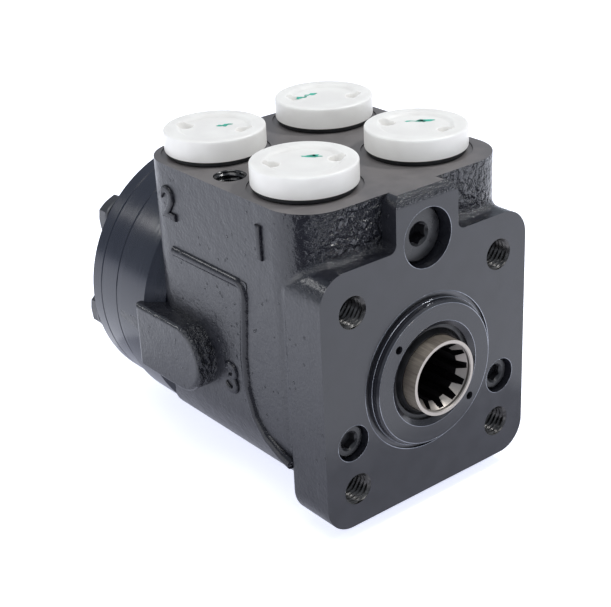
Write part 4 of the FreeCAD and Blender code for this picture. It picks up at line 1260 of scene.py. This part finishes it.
@dataclass
class RearStack:
    """Distributor plate, gear ring, end cover and the bolts that hold them."""

    count: int = 7
    bolt_circle: float = 37.5
    seat: float = 121.2
    flats: float = 13.0
    head: float = 5.3
    crown: float = 6.2
    chamfer: float = 1.0
    washer_face: float = 0.35
    shank: float = 4.0
    root: float = 3.38
    pitch: float = 1.25
    thread_back: float = 101.0
    end: float = 86.2
    steps: int = 72
    seam: float = 0.35
    hollow: float = 0.18
    hollow_edge: float = 0.9
    washer_share: float = 0.96
    tip_edge: float = 0.6
    run_out: float = 0.7
    stop_tip: float = 1.4
    stop_radius: float = 1.78
    stop_edge: float = 0.4
    body: str = "housing"

    def build_disc(self, node: str) -> None:
        """Break the outer edges of one disc of the stack, so that its joints show as dark seams.

        Args:
            node: Name of the disc's node.
        """
        low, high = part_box(node)

        def bevel(bm: bmesh.types.BMesh) -> None:
            """Bevel the edges on the outer circle of both end faces.

            Args:
                bm: The disc's merged mesh.
            """
            edges = []
            for edge in bm.edges:
                places = [vert.co for vert in edge.verts]
                outer = all(abs(math.hypot(p.x, p.z) - high.x) < 0.05 * MM for p in places)
                ends = [all(abs(p.y - end) < SAME * MM for p in places) for end in (low.y, high.y)]
                if outer and any(ends):
                    edges.append(edge)
            bmesh.ops.bevel(bm, geom=edges, offset=self.seam * MM, segments=1, affect="EDGES")

        mesh = merged_copy(node, bevel)
        mesh.attributes.remove(mesh.attributes[KEPT])
        smooth(mesh, 25.0)
        paint(mesh, STACK_PAINT)
        finished(new_object("painted_" + node, mesh), self.body, STACK_PAINT, node)

    def ring(self, radius: float, height: float, six_sided: bool) -> list[Vector]:
        """Lay one ring of a bolt.

        Args:
            radius: Its radius.
            height: Its place along the bolt.
            six_sided: Whether the hexagon cuts it.

        Returns:
            Its points, in metres.
        """
        sixth = math.pi / 3.0
        points = []
        for k in range(self.steps):
            angle = math.tau * k / self.steps
            local = (angle + sixth / 2.0) % sixth - sixth / 2.0
            flat = self.flats / 2.0 / math.cos(local)
            here = min(radius, flat) if six_sided else radius
            points.append(Vector((here * math.cos(angle), height, here * math.sin(angle))) * MM)
        return points

    def bolt(self, pin: float = 0.0) -> Mesh:
        """Make one hexagon bolt along Y, its seat at the origin and its head towards +Y.

        Args:
            pin: Length of a ball stop beyond its end, or 0 for a plain bolt.

        Returns:
            The closed mesh of head, shank and thread.
        """
        corner = self.flats / math.sqrt(3.0)
        face = self.flats / 2.0 * self.washer_share
        end, neck = self.end - self.seat, self.thread_back - self.seat
        stop, hollow = end - pin, self.head - self.hollow
        shape = [(0.0, end)]
        if pin > 0.0:
            shape = [(0.0, stop), (self.stop_tip, stop), (self.stop_radius, stop + self.stop_edge),
                     (self.stop_radius, end)]
        shape += [(self.root - self.tip_edge, end), (self.root, end + self.tip_edge), (self.root, neck),
                  (self.shank, neck + self.run_out), (self.shank, 0.0), (face, 0.0),
                  (face, self.washer_face)]
        rings = [(radius, height, False) for radius, height in shape]
        rings.append((corner, self.washer_face, True))
        for step in range(5):
            share = step / 4.0
            radius = corner + (self.crown - corner) * share
            rings.append((radius, self.head - self.chamfer * (1.0 - share), True))
        rings += [(self.crown - self.hollow_edge, hollow, False), (0.0, hollow, False)]
        points = [point for ring in rings for point in self.ring(*ring)]
        faces = []
        for a in range(0, (len(rings) - 1) * self.steps, self.steps):
            b = a + self.steps
            for k in range(self.steps):
                after = (k + 1) % self.steps
                faces.append((a + k, a + after, b + after, b + k))
        head = mesh_of("bolt_head", points, faces)
        thread = ThreadSize(self.shank, self.root + 0.04, self.pitch, self.root - 0.4, neck - end - 1.0)
        sleeve = thread.sleeve("bolt_thread", Axis.Y, 36)
        sleeve.transform(Matrix.Translation(Vector((0.0, end + self.tip_edge, 0.0)) * MM))
        bm = bmesh.new()
        bm.from_mesh(head)
        bm.from_mesh(sleeve)
        bm.to_mesh(head)
        bm.free()
        return head

    def places(self) -> list[Point]:
        """Seats of the bolt heads, one of them at the top."""
        angles = [math.radians(90.0 + 360.0 * k / self.count) for k in range(self.count)]
        return [(self.bolt_circle * math.cos(a), self.seat, self.bolt_circle * math.sin(a)) for a in angles]

    def build_bolts(self) -> None:
        """Set the bolts round the cover, the one with the ball stop where its node is."""
        low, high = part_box("ball_stop_bolt")
        middle = (low + high) / 2.0 / MM
        special = min(self.places(), key=lambda p: math.hypot(p[0] - middle.x, p[2] - middle.z))
        plain = [p for p in self.places() if p != special]
        bolts = repeated("hexagon_bolts", self.bolt(), plain, BOLT_COAT)
        finished(bolts, self.body, BOLT_COAT, "cover_bolts")
        stop = repeated("hexagon_bolt_with_stop", self.bolt(self.end - low.y / MM), [special], BOLT_COAT)
        finished(stop, self.body, BOLT_COAT, "ball_stop_bolt")

    def build(self) -> None:
        """Dress the stack's nodes and set its bolts."""
        for node in ("distributor_plate", "gear_ring", "end_cover"):
            self.build_disc(node)
        self.build_bolts()
        dress(RING_STEEL, "cover_washers")
        dress(RUBBER, "housing_o_ring", "plate_o_ring", "cover_o_ring")


@dataclass(frozen=True)
class HighlightRing:
    """A thin ring of bright metal on a turned edge of the flange's front, a painted highlight for the light
    that the edge catches, sizes in millimetres.
    """

    name: str
    radius: float
    height: float
    wire: float
    place: Flat = (0.0, 0.0)
    steps: int = 120
    sides: int = 8

    def build(self) -> None:
        """Build the ring about an axis along Y."""
        turns = [math.tau * k / self.sides for k in range(self.sides)]
        section = [(self.radius + self.wire * math.cos(turn), self.height + self.wire * math.sin(turn))
                   for turn in turns]
        mesh = lathe(self.name, section, (self.place[0], 0.0, self.place[1]), Axis.Y, self.steps)
        mesh.shade_smooth()
        finished(new_object(self.name, mesh), "housing", EDGE_HIGHLIGHT_METAL)


@dataclass
class Gland:
    """What is seen in the flange's mouth: gland bushing, ring, seals and the valve plugs."""

    # Rings of painted highlight on the turned edges of the mouth, the bushing and the valve counterbores.
    edges: tuple[HighlightRing, ...] = (
        HighlightRing("edge_flange_mouth", 25.32, 0.10, 0.15),
        HighlightRing("edge_bushing_rim", 23.60, -0.84, 0.12),
        HighlightRing("edge_bushing_face", 22.42, -2.72, 0.12),
        HighlightRing("edge_bushing_mouth", 16.98, -2.72, 0.11),
        HighlightRing("edge_relief_mouth", 9.40, 0.07, 0.11, (0.0, 43.3)),
        HighlightRing("edge_shock_mouth_left", 5.84, 0.06, 0.10, (-30.4, -13.0)),
        HighlightRing("edge_shock_mouth_right", 5.84, 0.06, 0.10, (30.4, -13.0)))

    def build(self) -> None:
        """Dress the gland's nodes and the screw plugs beside it."""
        dress(GLAND_PAINT, "gland_bushing")
        dress(RING_STEEL, "retaining_ring", "relief_plug_seal")
        dress(RUBBER, "dust_seal", "shaft_seal", "bushing_o_ring")
        dress(VALVE_PAINT, "relief_plug", "shock_plugs")
        for edge in self.edges:
            edge.build()


@dataclass
class RotaryValve:
    """Spool, sleeve, their bearing, the gerotor drive and the small valve pieces inside."""

    tip: float = -6.74
    tip_recess: float = 1.1
    tip_bore: float = 10.72
    lead_end: float = 8.6
    lead_depth: float = 3.0
    mouth_edge: float = 0.3
    springs: tuple[str, ...] = ("centring_springs", "relief_spring", "shock_spring_left",
                                "shock_spring_right")
    ground: tuple[str, ...] = (
        "sleeve", "spring_ring", "cross_pin", "bearing_race_front", "bearing_race_rear", "bearing_cage",
        "bearing_needles", "cardan_shaft", "gerotor_star", "drive_spacer", "relief_poppet", "relief_seat",
        "check_ball", "check_valve_seat", "suction_ball_left", "suction_ball_right", "suction_pin_left",
        "suction_pin_right", "shock_ball_left", "shock_ball_right")

    def build_spool(self) -> None:
        """Cut the lead-in cone into the teeth of the spool's spline, and give the bore a darker steel as
        painted shade and the neck a brighter steel as painted highlight.
        """
        obj = new_object("input_spool", merged_copy("spool"))
        bore, edge = self.tip_bore, self.mouth_edge
        start = self.tip_recess + 0.02
        end = start + self.lead_depth
        cone = [(0.0, start - 1.0), (bore, start - 1.0), (bore, start), (self.lead_end, end), (0.0, end)]
        mouth = [(0.0, -1.0), (bore + edge, -1.0), (bore + edge, 0.0), (bore, edge), (0.0, edge)]
        for name, tool in (("lead_in_cone", cone), ("bore_edge", mouth)):
            subtract(obj, lathe(name, tool, (0.0, self.tip, 0.0), Axis.Y, 96))
        mesh = obj.data
        use_kept_normals(mesh)
        paint(mesh, SPOOL_STEEL, SHADED_SPLINE_STEEL, LIT_NECK_STEEL)
        for face in mesh.polygons:
            x, y, z = face.center / MM
            radius = math.hypot(x, z)
            face.material_index = 0
            if abs(face.normal.y) < 0.3:
                # Faces deep in the bore take the near-black steel: painted shade.
                if y > self.tip + self.tip_recess + 0.05 and radius < bore - 0.04:
                    face.material_index = 1
                # Outer faces of the neck take the brighter steel: painted highlight.
                elif radius > bore + 0.5:
                    face.material_index = 2
        finished(obj, "spool", SPOOL_STEEL, "spool")

    def build(self) -> None:
        """Dress every turning or sliding piece of the valve."""
        self.build_spool()
        dress(GROUND_STEEL, *self.ground)
        dress(SPRING_STEEL, *self.springs)


@dataclass(frozen=True)
class Sheet:
    """A flat sheet of the stage: the floor, or a sheet over it that only reflections see.

    Its outline is in metres and its lift over the floor in millimetres.
    """

    name: str
    material: str
    outline: tuple[Flat, ...]
    lift: float
    colour: Colour
    rough: float
    specular: float = 0.5
    glow: float = 0.0
    seen: bool = False

    def build(self, floor: float, glow_tint: Colour) -> None:
        """Lay the sheet.

        Args:
            floor: Height of the floor, in millimetres.
            glow_tint: Colour of its glow.
        """
        z = (floor + self.lift) * MM
        mesh = bpy.data.meshes.new(self.name)
        mesh.from_pydata([(x, y, z) for x, y in self.outline], [], [tuple(range(len(self.outline)))])
        mat = bpy.data.materials.new(self.material)
        mat.use_nodes = True
        fill(mat.node_tree.nodes["Principled BSDF"],
             {"Base Color": (*self.colour, 1.0), "Roughness": self.rough,
              "Specular IOR Level": self.specular, "Emission Color": (*glow_tint, 1.0),
              "Emission Strength": self.glow})
        mesh.materials.append(mat)
        sheet = new_object(self.name, mesh)
        if not self.seen:
            sheet.visible_camera = False
            sheet.visible_diffuse = False
            sheet.visible_shadow = False


@dataclass(frozen=True)
class Lamp:
    """One soft square light, in metres and watts."""

    name: str
    place: Point
    side: float
    power: float

    def build(self, target: Point) -> None:
        """Hang the light.

        Args:
            target: What it points at, in metres.
        """
        data = bpy.data.lights.new(self.name, "AREA")
        data.shape = "SQUARE"
        data.size = self.side
        data.energy = self.power
        light = new_object(self.name, data)
        light.location = self.place
        light.rotation_mode = "QUATERNION"
        light.rotation_quaternion = (Vector(target) - Vector(self.place)).to_track_quat("-Z", "Y")


@dataclass
class Studio:
    """Camera, lights and the plain pale floor.

    The dark flag lies on the camera's side, as the end of a studio table does. The grey sheet
    close under the unit stands for the shade that the unit throws.
    """

    azimuth: float = -37.731
    elevation: float = 25.370
    roll: float = -2.830
    place: Point = (-253.651, -268.811, 198.724)
    focal_pixels: float = 1387.40
    photo_width: float = 611.0
    sensor: float = 36.0
    floor: float = -46.6
    glow_tint: Colour = (0.90, 0.93, 1.10)
    sky: Colour = (0.80, 0.88, 1.0)
    sky_strength: float = 0.50
    middle: Point = (0.0, 0.05, 0.01)
    sheets: tuple[Sheet, ...] = (
        Sheet("floor", "pale_floor", ((-9.0, -9.0), (9.0, -9.0), (9.0, 9.0), (-9.0, 9.0)), 0.0,
              (0.86, 0.86, 0.86), 0.8, specular=0.2, glow=0.75, seen=True),
        Sheet("dark_flag", "flag_cloth", ((-0.70, -0.75), (0.0, -0.75), (0.0, -0.09), (-0.16, -0.02),
                                          (-0.70, -0.10)), 0.5, (0.05, 0.05, 0.06), 0.9),
        Sheet("near_floor", "grey_sheet", ((-0.088, -0.042), (0.075, -0.042), (0.075, 0.15),
                                           (-0.088, 0.15)), 0.3, (0.30, 0.30, 0.32), 0.9, glow=0.56))
    lamps: tuple[Lamp, ...] = (
        Lamp("key_top", (-0.25, -0.10, 0.85), 0.5, 2.6),
        Lamp("fill_left", (-0.9, 0.25, 0.15), 0.6, 2.0),
        Lamp("glint_right", (0.52, -0.14, 0.78), 0.10, 4.2),
        Lamp("glint_front", (0.38, -0.66, 0.62), 0.10, 1.0),
        Lamp("strip_behind", (-0.50, 0.76, 0.50), 0.16, 0.7))

    def build_camera(self) -> None:
        """Set the camera where the photograph was taken from."""
        a, e, r = (math.radians(v) for v in (self.azimuth, self.elevation, self.roll))
        back = Vector((math.sin(a) * math.cos(e), -math.cos(a) * math.cos(e), math.sin(e)))
        right = (-back).cross(Vector((0.0, 0.0, 1.0))).normalized()
        up = right.cross(-back)
        right_rolled = right * math.cos(r) + up * math.sin(r)
        up_rolled = -right * math.sin(r) + up * math.cos(r)
        data = bpy.data.cameras.new("photo_camera")
        data.sensor_width = self.sensor
        data.lens = self.focal_pixels / self.photo_width * self.sensor
        data.clip_start = 0.01
        data.clip_end = 20.0
        camera = new_object("photo_camera", data)
        turn = Matrix((right_rolled, up_rolled, back)).transposed().to_4x4()
        camera.matrix_world = Matrix.Translation(Vector(self.place) * MM) @ turn
        bpy.context.scene.camera = camera

    def build(self) -> None:
        """Build the studio."""
        world = bpy.data.worlds.new("studio")
        world.use_nodes = True
        fill(world.node_tree.nodes["Background"], {"Color": (*self.sky, 1.0), "Strength": self.sky_strength})
        bpy.context.scene.world = world
        bpy.context.scene.view_settings.view_transform = "Standard"
        self.build_camera()
        for sheet in self.sheets:
            sheet.build(self.floor, self.glow_tint)
        for lamp in self.lamps:
            lamp.build(self.middle)


PLUGS = (
    TransportPlug(1, 150.0, ((4.4, 1.8, -46.0, 6.4), (5.2, 1.6, -20.0, 3.0))),
    TransportPlug(2, 115.0, ((4.3, 2.8, -36.0, 9.4), (4.6, 2.6, -60.0, 3.0))),
    TransportPlug(3, 125.0, ((3.8, -0.1, -26.0, 5.4),)),
    TransportPlug(4, 142.0, ((-1.2, 5.1, -8.0, 4.6), (-5.6, 4.6, -2.0, 4.4))),
)


def main() -> None:
    """Build the studio and every sub-assembly in order."""
    logging.basicConfig(level=logging.INFO, format="%(message)s")
    Studio().build()
    Casting().build()
    PortMarks().build()
    Gland().build()
    RotaryValve().build()
    RearStack().build()
    for plug in PLUGS:
        plug.build()
        dress(RUBBER, "port_seal_%d" % plug.number)


if __name__ == "__main__":
    main()
